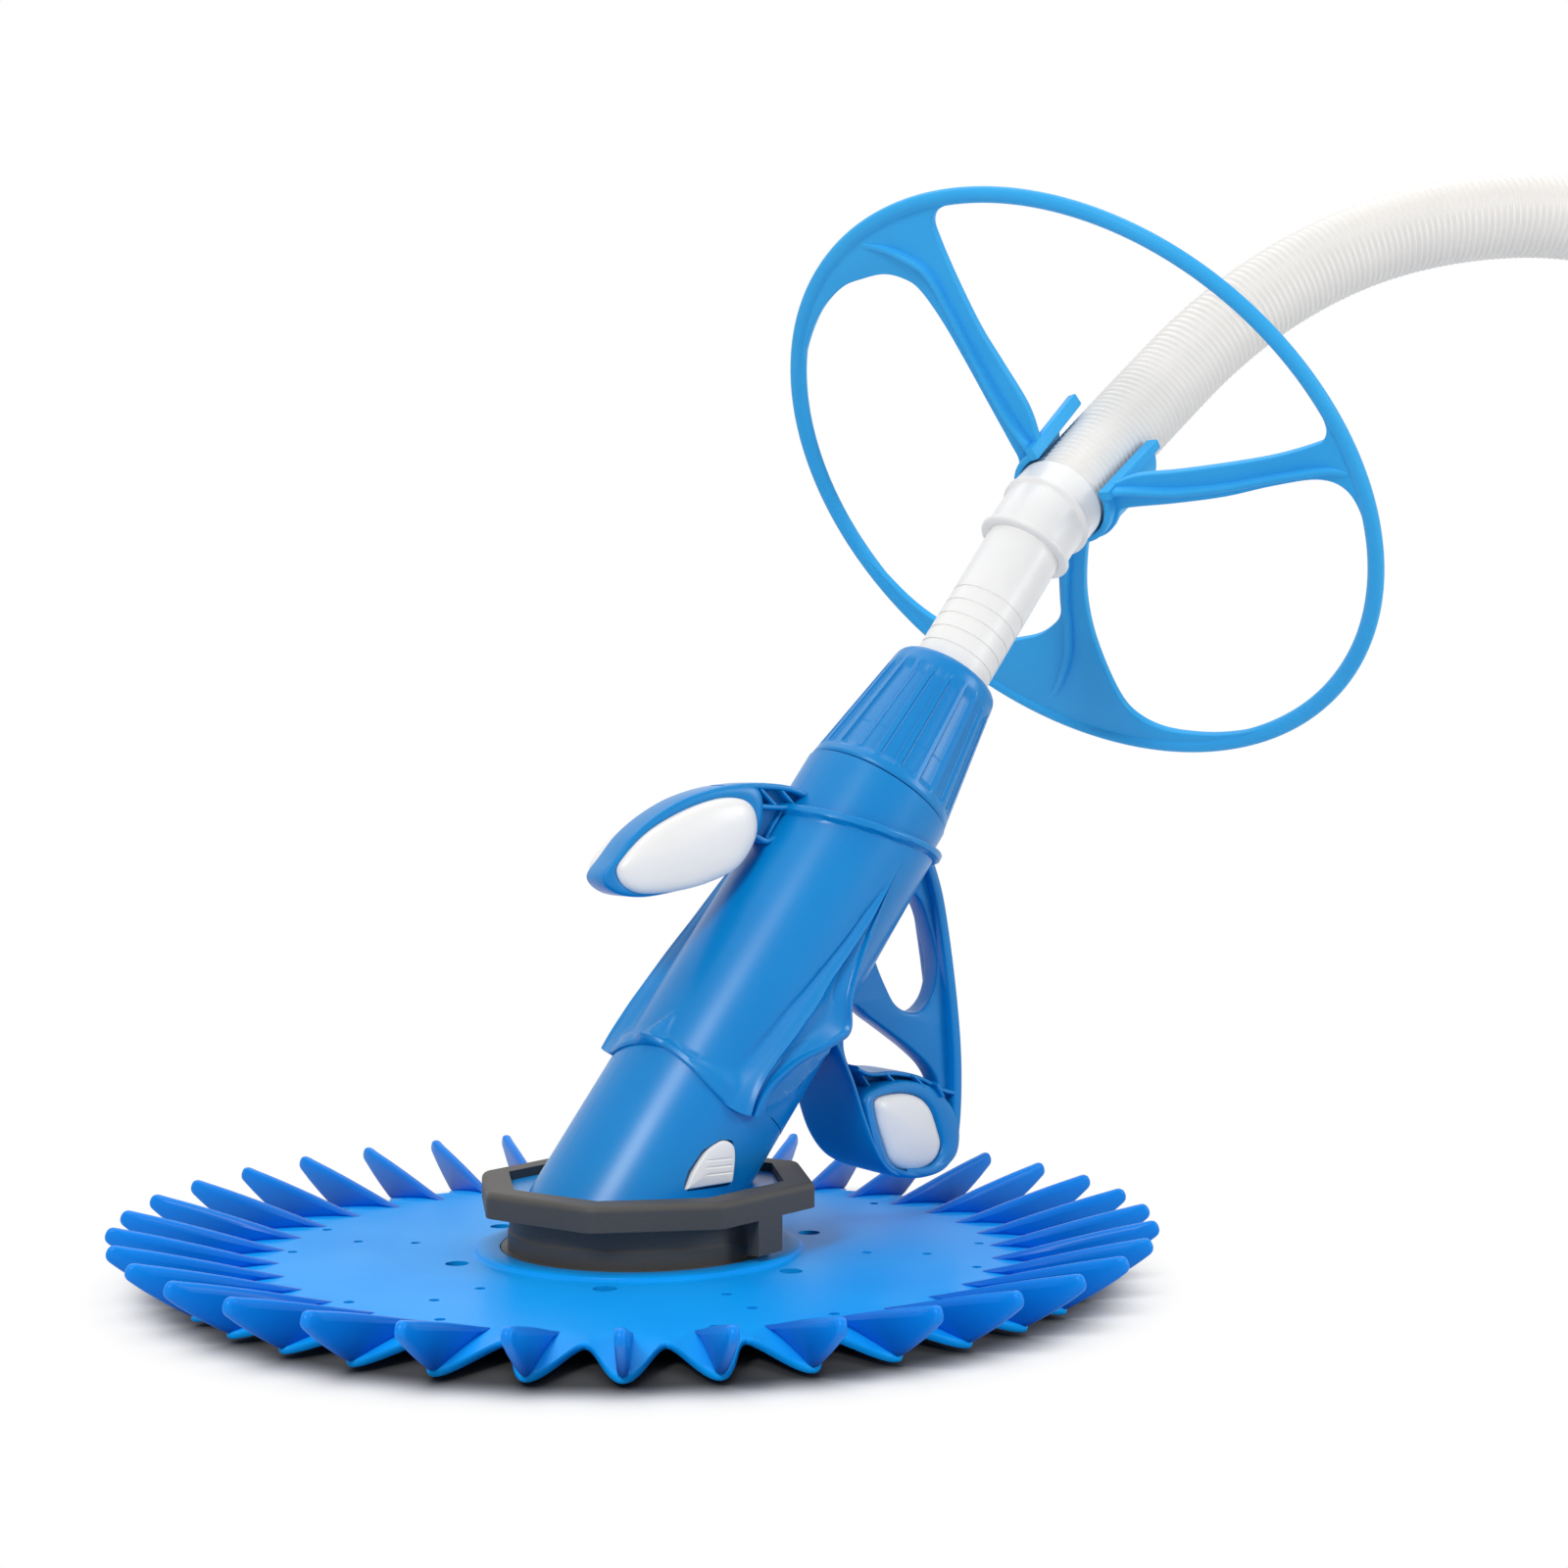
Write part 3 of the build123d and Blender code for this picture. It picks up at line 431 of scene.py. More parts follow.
dress(black_rubber, "foot_pad", "foot_collar", "diaphragm", "tube_seal")
dress(grey_plastic, "disc_bush", "disc_retainer", "diaphragm_seat", "diaphragm_clamp", "swivel_bush")
dress(steel, "foot_screws", "button_spring_near", "button_spring_far")
dress(white_plastic, "swivel_tube")
neck_outline = eased(
    [(46.1, 6.8), (57, 6.8), (57, 19.4), (56.4, 20.2), (56.4, 29.9), (46.1, 29.9)],
    [0.8, 0.8, 0.6, 0.6, 0.4, 0.4],
)
east, north, zenith = np.eye(3)
points, faces = spun(neck_outline, np.zeros(3), east, north, zenith, 128)
neck = mesh_piece("foot_neck_ring", points, faces, black_rubber, "body")
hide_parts("foot_neck")

# Finned disc: one soft blue moulding. Its rim is pleated: it dips and reaches out at each fin and
# arches between, and a rounded blade stands on each pleat. Bleed holes go through the plate.
disc_blue = moulded("disc_blue", tint(14, 162, 249), tint(8, 146, 243), 0.3, 800, 0.02, 0.4, 0.06)
fin_count = 36
per_fin = 20
columns = fin_count * per_fin
disc_turn = np.linspace(0, 2 * np.pi, columns, endpoint=False)
phase = (np.arange(columns) % per_fin) / per_fin
dip = (0.5 + 0.5 * np.cos(2 * np.pi * phase)) ** 0.9
edge_radius = 169 + 29 * dip
edge_drop = 4.8 * dip
plate_bore = 60.1
plate_edge = 152
plate_top = 10
plate_thick = 3
flat = np.array([plate_bore, 60.6, 62, 66, 69.6, 70.6, 71.2, 71.9, 73.2, 80, 88, 98, 110, 122, 134, 144,
                 plate_edge])
flat_top = np.full(len(flat), float(plate_top))
flat_top[:8] = [11.5, 12.1, 12.3, 12.3, 12.2, 11.8, 10.6, 10.15]
share = np.linspace(0, 1, 13)[1:]
fall = share**1.6
skirt_radius = plate_edge + (edge_radius[:, None] - plate_edge) * share
skirt_top = plate_top - edge_drop[:, None] * fall
lip_radius = edge_radius[:, None] + np.array([0.75, 1.1, 0.75])
lip_height = (plate_top - edge_drop)[:, None] + np.array([-0.5, -1.5, -2.5])
wide = np.ones((columns, 1))
under = np.minimum(flat_top, plate_top) - plate_thick
skirt_under = (skirt_top - plate_thick)[:, ::-1]
disc_radius = np.hstack([wide * flat, skirt_radius, lip_radius, skirt_radius[:, ::-1], wide * flat[::-1]])
disc_height = np.hstack([wide * flat_top, skirt_top, lip_height, skirt_under, wide * under[::-1]])


def carried(turn, radius, height):
    """Points about the Z axis: a row for each turn, at the radius and height given for each column."""
    flat = np.stack([np.cos(turn), np.sin(turn)], -1)[:, None] * np.asarray(radius)[..., None]
    return np.concatenate([flat, np.broadcast_to(np.asarray(height)[..., None], (*flat.shape[:2], 1))], -1)


points = carried(disc_turn, disc_radius, disc_height).reshape(-1, 3)
faces = lattice(columns, disc_radius.shape[1], True, True)
disc = mesh_piece("pleated_disc", points, faces, disc_blue, "disc", 62)
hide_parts("finned_disc")

# Bleed holes in six groups: circle, turn and radius of each.
hole_turns = []
for group in range(6):
    hole_turns.append((82, -8 + 60 * group, 5.0))
    for circle, turn in ((100, 22), (126, 22), (150, 12.5), (150, 31.5)):
        hole_turns.append((circle, turn + 60 * group, 2.2))
hole_sides = 24
rim_turn = np.linspace(0, 2 * np.pi, hole_sides, endpoint=False)
drill_points = []
drill_faces = []
for circle, turn, radius in hole_turns:
    middle = circle * np.array([math.cos(math.radians(turn)), math.sin(math.radians(turn))])
    ring = middle + radius * np.stack([np.cos(rim_turn), np.sin(rim_turn)], -1)
    base = hole_sides * len(drill_points)
    drill_points += [np.column_stack([ring, np.full(hole_sides, end)]) for end in (4.0, 14.0)]
    drill_faces += (lattice(2, hole_sides, False, True) + base).tolist()
    drill_faces += [list(range(start, start + hole_sides)) for start in (base, base + hole_sides)]
drill = mesh_piece("drill", np.concatenate(drill_points), drill_faces, disc_blue, "disc")
cut = disc.modifiers.new("holes", "BOOLEAN")
cut.operation = "DIFFERENCE"
cut.solver = "EXACT"
cut.object = drill
bpy.context.view_layer.update()
drilled = bpy.data.meshes.new_from_object(disc.evaluated_get(bpy.context.evaluated_depsgraph_get()))
drilled.set_sharp_from_angle(angle=math.radians(40))
disc.modifiers.clear()
disc.data = drilled
bpy.data.objects.remove(drill)

blade_outline = eased(
    [
        (152, 9.5), (174, 8.2), (198.5, 3.9), (210, 11), (219.5, 17.6),
        (225.8, 22.8), (223.6, 28.2), (206, 24.2), (186, 19), (162, 12.2),
    ],
    [2, 8, 3, 6, 6, 3.5, 3.5, 9, 9, 8],
    6,
)
spine = np.array([(162, 10.4), (216, 23)])
along_spine = spine[1] - spine[0]
place_on = np.clip((blade_outline - spine[0]) @ along_spine / (along_spine @ along_spine), 0, 1)
core = spine[0] + place_on[:, None] * along_spine
inward = core - blade_outline
depth = np.linalg.norm(inward, axis=1, keepdims=True)
tilt = np.radians([-90, -55, -20, 20, 55, 90])
half_thick = 2.1
inset = half_thick * (1 - np.cos(tilt))
loops = [core] + [blade_outline + inward / depth * np.minimum(step, 0.9 * depth) for step in inset] + [core]
sides = np.concatenate([[-2.3], half_thick * np.sin(tilt), [2.3]])
blade_plane = np.stack(loops)
blade_side = np.broadcast_to(sides[:, None, None], blade_plane[..., :1].shape)
blade_points = np.concatenate([blade_plane[..., :1], blade_side, blade_plane[..., 1:]], -1).reshape(-1, 3)
fin_turn = 2 * np.pi * np.arange(fin_count) / fin_count
spin = np.zeros((fin_count, 3, 3))
spin[:, 0, 0] = spin[:, 1, 1] = np.cos(fin_turn)
spin[:, 1, 0] = np.sin(fin_turn)
spin[:, 0, 1] = -spin[:, 1, 0]
spin[:, 2, 2] = 1
points = np.einsum("kij,nj->kni", spin, blade_points).reshape(-1, 3)
one_blade = lattice(len(sides), len(blade_outline), False, True)
faces = (one_blade[None] + (np.arange(fin_count) * len(blade_points))[:, None, None]).reshape(-1, 4)
blade_blue = moulded("blade_blue", tint(8, 146, 243), tint(4, 120, 228), 0.28, 800, 0.02, 0.25, 0.16)
# Painted shade: the blades are coloured darker than the plate. They are darkest at their roots, low between
# the blades, and lighter towards their tips.
tree = blade_blue.node_tree
height = tree.nodes.new("ShaderNodeSeparateXYZ")
tree.links.new(tree.nodes.new("ShaderNodeTexCoord").outputs["Object"], height.inputs[0])
root_to_tip = ranged(tree, height.outputs["Z"], (0.005, 0.027))
root_shade_blend = tree.nodes.new("ShaderNodeMix")
root_shade_blend.data_type = "RGBA"
root_shade_blend.inputs["A"].default_value = tint(2, 84, 190)
root_shade_blend.inputs["B"].default_value = tint(8, 140, 240)
tree.links.new(root_to_tip, root_shade_blend.inputs["Factor"])
tree.links.new(root_shade_blend.outputs["Result"], tree.nodes["skin"].inputs["Color"])
mesh_piece("fin_blades", points, faces, blade_blue, "disc", 75)

# Barrel and collar: the leaning body casting with its foot plate stands in the rubber collar.
# Both keep their solid shapes; the barrel is satin blue plastic.
body_blue = moulded("body_blue", tint(2, 133, 204), tint(1, 120, 193), 0.28, 900, 0.02, 0.4, 0.34)
dress(body_blue, "barrel")


def leaned(local):
    """Barrel coordinates (towards the top line, towards the near side, along) as places in the frame."""
    down, out, along = np.split(np.asarray(local, float), 3, -1)
    return lean_start + down * top_lean + out * side_lean + along * up_lean


# Shroud: a thin blue sleeve clipped over the barrel, from a flared hem to a beaded rim below the nut.
# On each side its skin lifts to a gill, a free lip with a scoop under it; a small thorn tops the hem.


def gentle(place, at, value):
    """Value read between listed places, averaged over four millimetres either way."""
    shift = np.linspace(-4, 4, 9)
    return np.interp(np.asarray(place)[..., None] + shift, at, value).mean(-1)


def smooth_step(value, low, high):
    """Rise from 0 at low to 1 at high with level ends."""
    share = np.clip((value - low) / (high - low), 0, 1)
    return share * share * (3 - 2 * share)


hem_level = 50
rim_level = 193
hem_rows = [0, 0.4, 0.9, 1.8, 3, 4.5, 6, 8, 10]
rim_rows = [134.5, 136, 137, 137.8, 138.4, 139, 140.5, 141.8, 142.5, 142.9, 143]
level = np.concatenate([hem_rows, np.arange(12, 134, 1.5), rim_rows]) + hem_level


def by_level(at, value):
    """Gentle reading of a value at every level of the shroud, as a column."""
    return gentle(level, at, value)[:, None]


# By level: turns of the gill's fold and lip in degrees from the top line, and the lip's rise.
gill_at = [40, 49, 55, 64, 79, 92, 100, 104, 108, 113, 120, 136, 151, 165, 172, 180]
gill_fold = by_level(
    gill_at, [67, 69, 70.5, 73, 77.5, 80.5, 82.5, 84, 85.5, 87, 88.5, 92.5, 95.5, 99, 101.5, 103]
)
gill_lip = by_level(
    gill_at, [96, 97, 94, 93.5, 101, 113, 119, 122.5, 118, 113, 110.5, 106.5, 104.6, 103.6, 103.3, 103.2]
)
gill_rise = by_level(
    gill_at, [6.4, 6.8, 7.2, 7.8, 8.8, 10.4, 11.4, 12, 10.8, 9.2, 7.6, 5.2, 3.2, 1.3, 0.3, 0]
)
openness = np.clip(gill_rise / 3, 0, 1)
trough = by_level([50, 62, 75, 140, 172], [0, 0.4, 1.7, 1.5, 0])
# A ridge runs down the gill, placed as a share of the way from fold to lip; a pocket lies beyond.
ridge_at = [50, 57, 64, 79, 92, 104, 120, 136, 151, 172]
ridge_share = by_level(ridge_at, [0.86, 0.8, 0.72, 0.53, 0.37, 0.28, 0.33, 0.43, 0.56, 0.72])
ridge_part = by_level(ridge_at, [0.95, 0.9, 0.82, 0.68, 0.53, 0.42, 0.48, 0.58, 0.7, 0.86])
ridge_rise = gill_rise * ridge_part
one = np.ones((len(level), 1))
plain = np.linspace(0, 1, 26)
seam_turn = 28
first_face = np.array([0.08, 0.17, 0.26, 0.36, 0.46, 0.56, 0.66, 0.76, 0.85, 0.93, 0.975, 1])
pocket = np.array([0.03, 0.08, 0.16, 0.26, 0.37, 0.48, 0.6, 0.72, 0.84, 0.93, 0.98, 1])
edge_bead = np.array([0.93, 0.942, 0.955, 0.97, 0.985, 1])
swept = np.hstack([ridge_share * first_face, ridge_share + (0.92 - ridge_share) * pocket, one * edge_bead])
bead_rise = 2.6 * openness
dip = 3.0 * openness * np.clip((0.9 - ridge_share) / 0.35, 0, 1)
ridge_bead = 0.8 * openness
gill_skin = np.hstack(
    [
        ridge_rise * first_face**1.35
        - trough * np.exp(-(((first_face - 0.3) / 0.2) ** 2))
        + ridge_bead * np.exp(-(((first_face - 1) / 0.06) ** 2)),
        ridge_rise
        + (gill_rise - bead_rise - ridge_rise) * pocket
        - dip * np.sin(np.pi * pocket)
        + ridge_bead * np.exp(-((pocket / 0.07) ** 2)),
        gill_rise - bead_rise * (1 - smooth_step(edge_bead, 0.92, 0.945)),
    ]
)
rest = np.linspace(0, 1, 30)[1:]
tuck = openness * np.minimum(14, 0.45 * (gill_lip - gill_fold))
low_end = 1 - smooth_step(level, 52, 84)[:, None]
lip_turn = gill_lip + openness * (1 + 1.8 * low_end) * np.array([[0.5, 1.3, 1.9, 1.9, 1.0]])
floor_turn = gill_lip - tuck * np.array([[0.35, 0.8, 1.0, 0.9]])
beta = np.hstack(
    [
        seam_turn + (gill_fold - seam_turn) * plain,
        gill_fold + (gill_lip - gill_fold) * swept,
        lip_turn,
        floor_turn,
        floor_turn[:, -1:] + (seam_turn + 180 - floor_turn[:, -1:]) * rest,
    ]
)
lifted = np.hstack(
    [
        0 * one * plain,
        gill_skin,
        gill_rise - openness * (1 + 1.3 * low_end) * np.array([[0.05, 0.3, 0.9, 1.7, 2.2]]),
        gill_rise * np.array([[0.55, 0.3, 0.05, 0.0]]) * openness * (1 - 0.7 * low_end),
        0 * one * rest,
    ]
)
hem_at = [28, 38.6, 52, 65, 75, 84, 92, 97, 104, 112, 208]
hem_line = gentle(beta, hem_at, [53.2, 51.9, 49.8, 47, 45.2, 44.3, 45.6, 48.2, 51, 53.4, 53.4])
back_line = gentle(beta, [90, 98, 118, 131, 148, 165, 208], [46, 50, 68, 86.5, 104, 112, 116])
lip_side = np.broadcast_to(np.arange(beta.shape[1]) >= len(plain) + swept.shape[1] + 5, beta.shape)
flare = 4.5 + 9 * smooth_step(beta, 40, 80) * (1 - smooth_step(beta, 95, 110))


def shroud_half(turn):
    """Half of the sleeve at given turns: heights from hem to rim, radii with gill, hem, rim and thorn."""
    rim_line = rim_level - 13 * np.cos(np.radians(turn))
    over = level[:, None] - hem_level
    low_share = np.clip(1 - over / 40, 0, 1) ** 2
    high_share = np.clip(over / (rim_level - hem_level) * 2.5 - 1.5, 0, 1) ** 2
    along = level[:, None] + (hem_line - hem_level) * low_share + (rim_line - rim_level) * high_share
    skin_radius = 40.3
    radius = skin_radius - 1.9 * (along - 55) / 138 + lifted
    over_hem = along - hem_line
    hem_skin = 42.7 - 2.4 * smooth_step(over_hem, 0.6 * flare, flare)
    hem_skin = hem_skin - 0.8 * (1 - smooth_step(over_hem, 0, 0.9))
    hem_skin = np.where(lip_side, skin_radius, hem_skin)
    radius = np.maximum(radius, np.where(over_hem < flare, hem_skin, 0))
    back_bead = np.maximum(radius, 41.1 + np.exp(-(((along - back_line) / 1.6) ** 2)))
    radius = np.where(lip_side & (along < back_line + 4), back_bead, radius)
    under_rim = rim_line - along
    radius = radius + 2.9 * (1 - smooth_step(under_rim, 3.4, 5.0))
    radius = radius - 0.9 * (1 - smooth_step(under_rim, 0, 0.9))
    taper = np.clip(1 - (along - 55) / 15, 0, 1)
    off_thorn = np.abs(turn - 14 - 6 * (1 - taper)) / (1.5 + 9 * taper**1.4)
    thorn = 4.2 * taper**0.6 * np.clip(1.15 - off_thorn, 0, 1)
    radius = radius + thorn * smooth_step(along, 50, 55)
    return along, radius


near_along, near_radius = shroud_half(beta)
far_beta = 2 * seam_turn - beta
far_along, far_radius = shroud_half(far_beta)
turn = np.radians(np.hstack([beta, far_beta[:, -2:0:-1]]))
along = np.hstack([near_along, far_along[:, -2:0:-1]])
radius = np.hstack([near_radius, far_radius[:, -2:0:-1]])
lining = np.where(along < 53.6, 41.2, 36.9)
turn = np.concatenate([turn, turn[::-1]])
along = np.concatenate([along, along[::-1]])
radius = np.concatenate([radius, np.minimum(lining, radius - 0.5)[::-1]])
points = leaned(np.stack([radius * np.cos(turn), radius * np.sin(turn), along], -1)).reshape(-1, 3)
faces = lattice(*turn.shape, True, True)
shroud = mesh_piece("gilled_shroud", points, faces, body_blue, "body", 42)
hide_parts("shroud")

# Bumper arms: two blue struts moulded with the body's rim, one over the front, one down the back.
# Each ends in a ring that holds a white pad; rails, webs and short ribs carry the ring.


def flowing(knots, count):
    """Closed smooth outline through knots: a periodic Catmull-Rom curve sampled evenly in each span."""
    knot = np.asarray(knots, float)
    per_span = max(2, count // len(knot))
    t = np.linspace(0, 1, per_span, endpoint=False)[:, None, None]
    a, b, c, d = (np.roll(knot, shift, 0) for shift in (1, 0, -1, -2))
    bend = (2 * a - 5 * b + 4 * c - d) * t**2
    twist = (3 * b - a - 3 * c + d) * t**3
    curve = 0.5 * (2 * b + (c - a) * t + bend + twist)
    return curve.transpose(1, 0, 2).reshape(-1, knot.shape[1])


def drawn(knots, count):
    """Open smooth line through knots: the closed curve of the knots out and back, first half kept."""
    knot = np.asarray(knots, float)
    there_and_back = np.concatenate([knot, knot[-2:0:-1]])
    return flowing(there_and_back, count * len(there_and_back))[: count * (len(knot) - 1) + 1]


def upright(flat, side):
    """Points of an outline in X and height above the disc, at given Y, as places in the frame."""
    return np.stack(np.broadcast_arrays(flat[..., 0], side, flat[..., 1] + 10), -1)


def ring_band(outer, inner):
    """Closed band between two matched outlines (X, height, half width): flat faces with rounded edges."""
    across = np.array([0, 0, 0.05, 0.18, 0.5, 0.82, 0.95, 1, 1, 1, 0.95, 0.82, 0.5, 0.18, 0.05, 0])
    side = np.array([0, 0.82, 0.94, 1, 1.01, 1, 0.94, 0.82, 0, -0.82, -0.94, -1, -1.01, -1, -0.94, -0.82])
    flat = outer[:, None, :2] + (inner - outer)[:, None, :2] * across[None, :, None]
    half = outer[:, None, 2] + (inner - outer)[:, None, 2] * across[None]
    points = upright(flat, -half * side[None])
    return points.reshape(-1, 3), lattice(len(outer), len(side), True, True)


def normals(line):
    """Unit normals of a flat line, a quarter turn to the left of its run."""
    forward = np.gradient(line, axis=0)
    forward = forward / np.linalg.norm(forward, axis=1, keepdims=True)
    return np.stack([-forward[:, 1], forward[:, 0]], -1)


def broad(wave, power):
    """Wave with broad tops: its sign times its size to a power below one."""
    return np.sign(wave) * np.abs(wave) ** power


def capped(rings):
    """Points and faces of a bar: rings of points along it, and each end drawn in to its middle."""
    ends = np.repeat(rings[[0, -1]].mean(1, keepdims=True), rings.shape[1], 1)
    rings = np.concatenate([ends[:1], rings, ends[1:]])
    return rings.reshape(-1, 3), lattice(*rings.shape[:2], False, True)


def strap(line, thick):
    """Rounded strip of given half thickness along a line (X, height, half width), closed at its ends."""
    turn = np.linspace(0, 2 * np.pi, 28, endpoint=False)
    rise = thick * broad(np.sin(turn), 0.5)
    flat = line[:, None, :2] + normals(line[:, :2])[:, None] * rise[None, :, None]
    return capped(upright(flat, line[:, None, 2] * broad(np.cos(turn), 0.3)[None]))


def plate(loops, half, bevel):
    """Flat plate with openings: outlines filled as a flat curve, thickened both ways, edges rounded."""
    curve = bpy.data.curves.new("plate", "CURVE")
    curve.dimensions = "2D"
    curve.fill_mode = "BOTH"
    curve.extrude = half - bevel
    curve.bevel_depth = bevel
    curve.bevel_resolution = 2
    curve.offset = -bevel
    for loop in loops:
        spline = add_spline(curve, "POLY", np.column_stack([loop, np.zeros(len(loop))]))
        spline.use_cyclic_u = True
    return curve_mesh(curve)


def joined(*parts):
    """Several sets of points and faces as one set."""
    starts = np.cumsum([0] + [len(points) for points, _ in parts])
    faces = []
    for (_, some), start in zip(parts, starts):
        faces += [[int(index) + int(start) for index in face] for face in some]
    return np.concatenate([points for points, _ in parts]), faces


def webbed(loops, half, bevel):
    """Plate of outlines in X and height, standing in the middle plane of the body."""
    points, faces = plate(loops, half, bevel)
    return upright(points[:, :2], -points[:, 2]), faces


ring_points = 154
top_ring_outer = flowing(
    [
        (-22, 162.5), (-15.5, 171.5), (-6.6, 181.6), (6.2, 190.8), (21, 197.8), (40, 202.3), (56, 201.5),
        (59, 190), (54.2, 177.3), (44.2, 165.4), (28.8, 159.2), (12.5, 155.6), (-3, 153.8), (-15.5, 155.9),
    ],
    ring_points,
)
top_ring_inner = flowing(
    [
        (-15.4, 166), (-11, 172.6), (-2, 181), (10, 188), (25, 194), (38.5, 196.8), (49, 195),
        (53.5, 188.5), (51.5, 178.5), (43, 168.8), (29.5, 162.3), (13, 158.4), (-3, 156.8), (-12, 159.4),
    ],
    ring_points,
)
top_ring_outer = np.column_stack([top_ring_outer, np.full(ring_points, 8.5)])
top_ring_inner = np.column_stack([top_ring_inner, np.full(ring_points, 9.2)])
rails = (
    (1.5, [(40, 201, 8), (50, 202, 8.3), (62, 202, 8.5), (75, 200.4, 8.5), (86, 196, 8.5), (97, 190, 8)]),
    (1.3, [(53, 193.4, 8), (66, 192.5, 8.3), (77, 192.4, 8.5), (88, 192.8, 8.5), (98, 191, 8)]),
    (1.4, [(52, 182, 7.5), (57, 179, 8), (63, 177.5, 8.3), (73, 183.4, 8.5), (84, 188.8, 8.5),
           (96, 191, 8)]),
)
rungs = (
    ((52.4, 194), (46, 201)), ((66, 193.5), (57.5, 201.5)), ((76, 193.5), (69, 200.5)),
    ((86, 193.5), (80, 198)),
)
top_web = eased([(48, 201), (76, 200.5), (97, 190.5), (84, 187), (64, 176), (54, 176)], 2)
pieces = [ring_band(top_ring_outer, top_ring_inner)]
pieces += [strap(drawn(knots, 8), thick) for thick, knots in rails]
pieces += [strap(np.array([(*foot, 7.6), (*head, 7.6)]), 0.9) for foot, head in rungs]
pieces.append(strap(np.array([(72, 192.5, 5), (68, 186, 5), (62.5, 178, 5)]), 0.9))
pieces.append(webbed([top_web], 2.2, 0.6))
points, faces = joined(*pieces)
top_bumper = mesh_piece("top_bumper_arm", points, faces, body_blue, "body", 60)
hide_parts("top_arm")

low_ring_outer = flowing(
    [
        (104, 62.5, 24), (126, 66, 18), (146, 62.5, 14), (160, 53, 12), (166, 42, 11.5), (164.5, 29, 12),
        (155, 22.2, 13.5), (142, 19.8, 16), (126, 22, 20), (112.5, 29, 24), (106, 41, 26), (102.5, 54, 26),
    ],
    144,
)
low_ring_inner = flowing(
    [
        (110, 59.6, 23.5), (125, 60.6, 19), (138, 58, 16), (146.5, 52, 14.5), (152, 41.5, 13),
        (154.5, 33, 13),
        (149.5, 26.4, 14), (139, 24, 16.5), (127, 25.6, 20.5), (118.5, 30.6, 23), (113, 41, 24.5),
        (109.4, 52, 24.5),
    ],
    144,
)
back_rail = [
    (147, 172, 9), (151, 163, 10), (155.5, 146, 11), (161, 114, 11), (164.7, 82, 11), (165.3, 57, 11),
    (163.2, 37, 11.5), (157.5, 26, 13), (145.5, 22.4, 15.5), (130, 24, 19),
]
apron = [
    (91, 88, 18), (95.5, 70, 25), (101, 52, 27), (107, 38, 27), (115, 28, 25), (126, 23, 20),
    (140, 20.8, 15),
]
shelf = [(101, 74, 22), (112, 70, 16.5), (128, 69, 14), (143, 65.5, 12), (155, 59.5, 11), (166, 56.5, 10.5)]
rungs = (
    ((113, 63), (107, 71)), ((127, 64.5), (121, 70)), ((143, 62), (137, 67.5)), ((154, 56.5), (150, 63)),
)
upper_hole = flowing(
    [
        (146, 149), (152, 136), (156.6, 119), (154.5, 105), (148.5, 97.3), (141.5, 95.8),
        (133, 100), (127, 109.5), (122.5, 119), (118, 131), (121, 146), (134, 155),
    ],
    96,
)
lower_hole = flowing(
    [
        (108, 100.5), (119, 94), (131, 86), (143, 77.5), (152, 69.5), (156.6, 61.5),
        (152, 60), (142, 64.6), (130, 68), (116, 69.5), (108, 72), (104, 84),
    ],
    96,
)
web_outline = eased(
    [
        (128, 172), (148, 168), (153, 157), (161.5, 119), (165.5, 81), (166, 57), (164, 36), (156, 24),
        (142, 21.5), (126, 24), (110, 32), (103, 52), (97, 74), (93, 92), (80, 96), (116, 165),
    ],
    6,
)
pieces = [ring_band(low_ring_outer, low_ring_inner)]
pieces.append(strap(drawn(back_rail, 10), 2.8))
pieces.append(strap(drawn(apron, 8), 1.4))
pieces.append(webbed([web_outline, upper_hole, lower_hole, low_ring_inner[:, :2]], 6, 1.5))
pieces += [strap(np.array([(*foot, 15), (*head, 15)]), 0.9) for foot, head in rungs]
pieces.append(strap(drawn(shelf, 8), 1.2))
points, faces = joined(*pieces)
low_bumper = mesh_piece("bottom_bumper_arm", points, faces, body_blue, "body", 60)
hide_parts("bottom_arm")

# Bumper pads: hard white plastic pebbles snapped in the rings, domed on both sides of the arm.
# They are smooth and a little glossy, and stand out of the ring by a few millimetres.


def pebble(outline, middle, at, near_half, far_half):
    """Domed pad: an outline (X, height) shrunk to its middle, out to half widths read at each X."""
    shrink = np.array([0, 0.3, 0.55, 0.75, 0.88, 0.95, 0.985, 1.0, 1.0])
    drop = np.array([-2.0, -1.75, -1.2, -0.5, 0.35, 1.4, 2.6, 4.2, 7.0])
    shrink = np.concatenate([shrink, shrink[::-1]])
    flat = middle + (outline[None] - middle) * shrink[:, None, None]
    near = np.interp(flat[: len(drop), :, 0], at, near_half) - drop[:, None]
    far = np.interp(flat[len(drop):, :, 0], at, far_half) - drop[::-1, None]
    points = upright(flat, np.concatenate([-near, far]))
    return points.reshape(-1, 3), lattice(len(shrink), len(outline), False, True)


top_pad_outline = flowing(
    [
        (-15.6, 166), (-11.2, 172.8), (-2, 181.2), (10, 188.2), (25, 194.2), (38.5, 197), (49.4, 195.4),
        (54.4, 188.5), (53.4, 177.8), (44.3, 165.9), (29.3, 159.4), (13, 156), (-3, 155.4), (-12, 158.8),
    ],
    154,
)
top_pad_ends = (-16, 55)
points, faces = pebble(top_pad_outline, np.array((20, 176)), top_pad_ends, (13, 13), (21, 21))
top_pad = mesh_piece("top_bumper_pad", points, faces, white_plastic, "body", 70)
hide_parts("top_pad")
low_pad_ends = (109, 154)
low_pad_half = (25.5, 13.5)
points, faces = pebble(low_ring_inner[:, :2], np.array((133, 43)), low_pad_ends, low_pad_half, low_pad_half)
low_pad = mesh_piece("bottom_bumper_pad", points, faces, white_plastic, "body", 70)
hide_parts("bottom_pad")

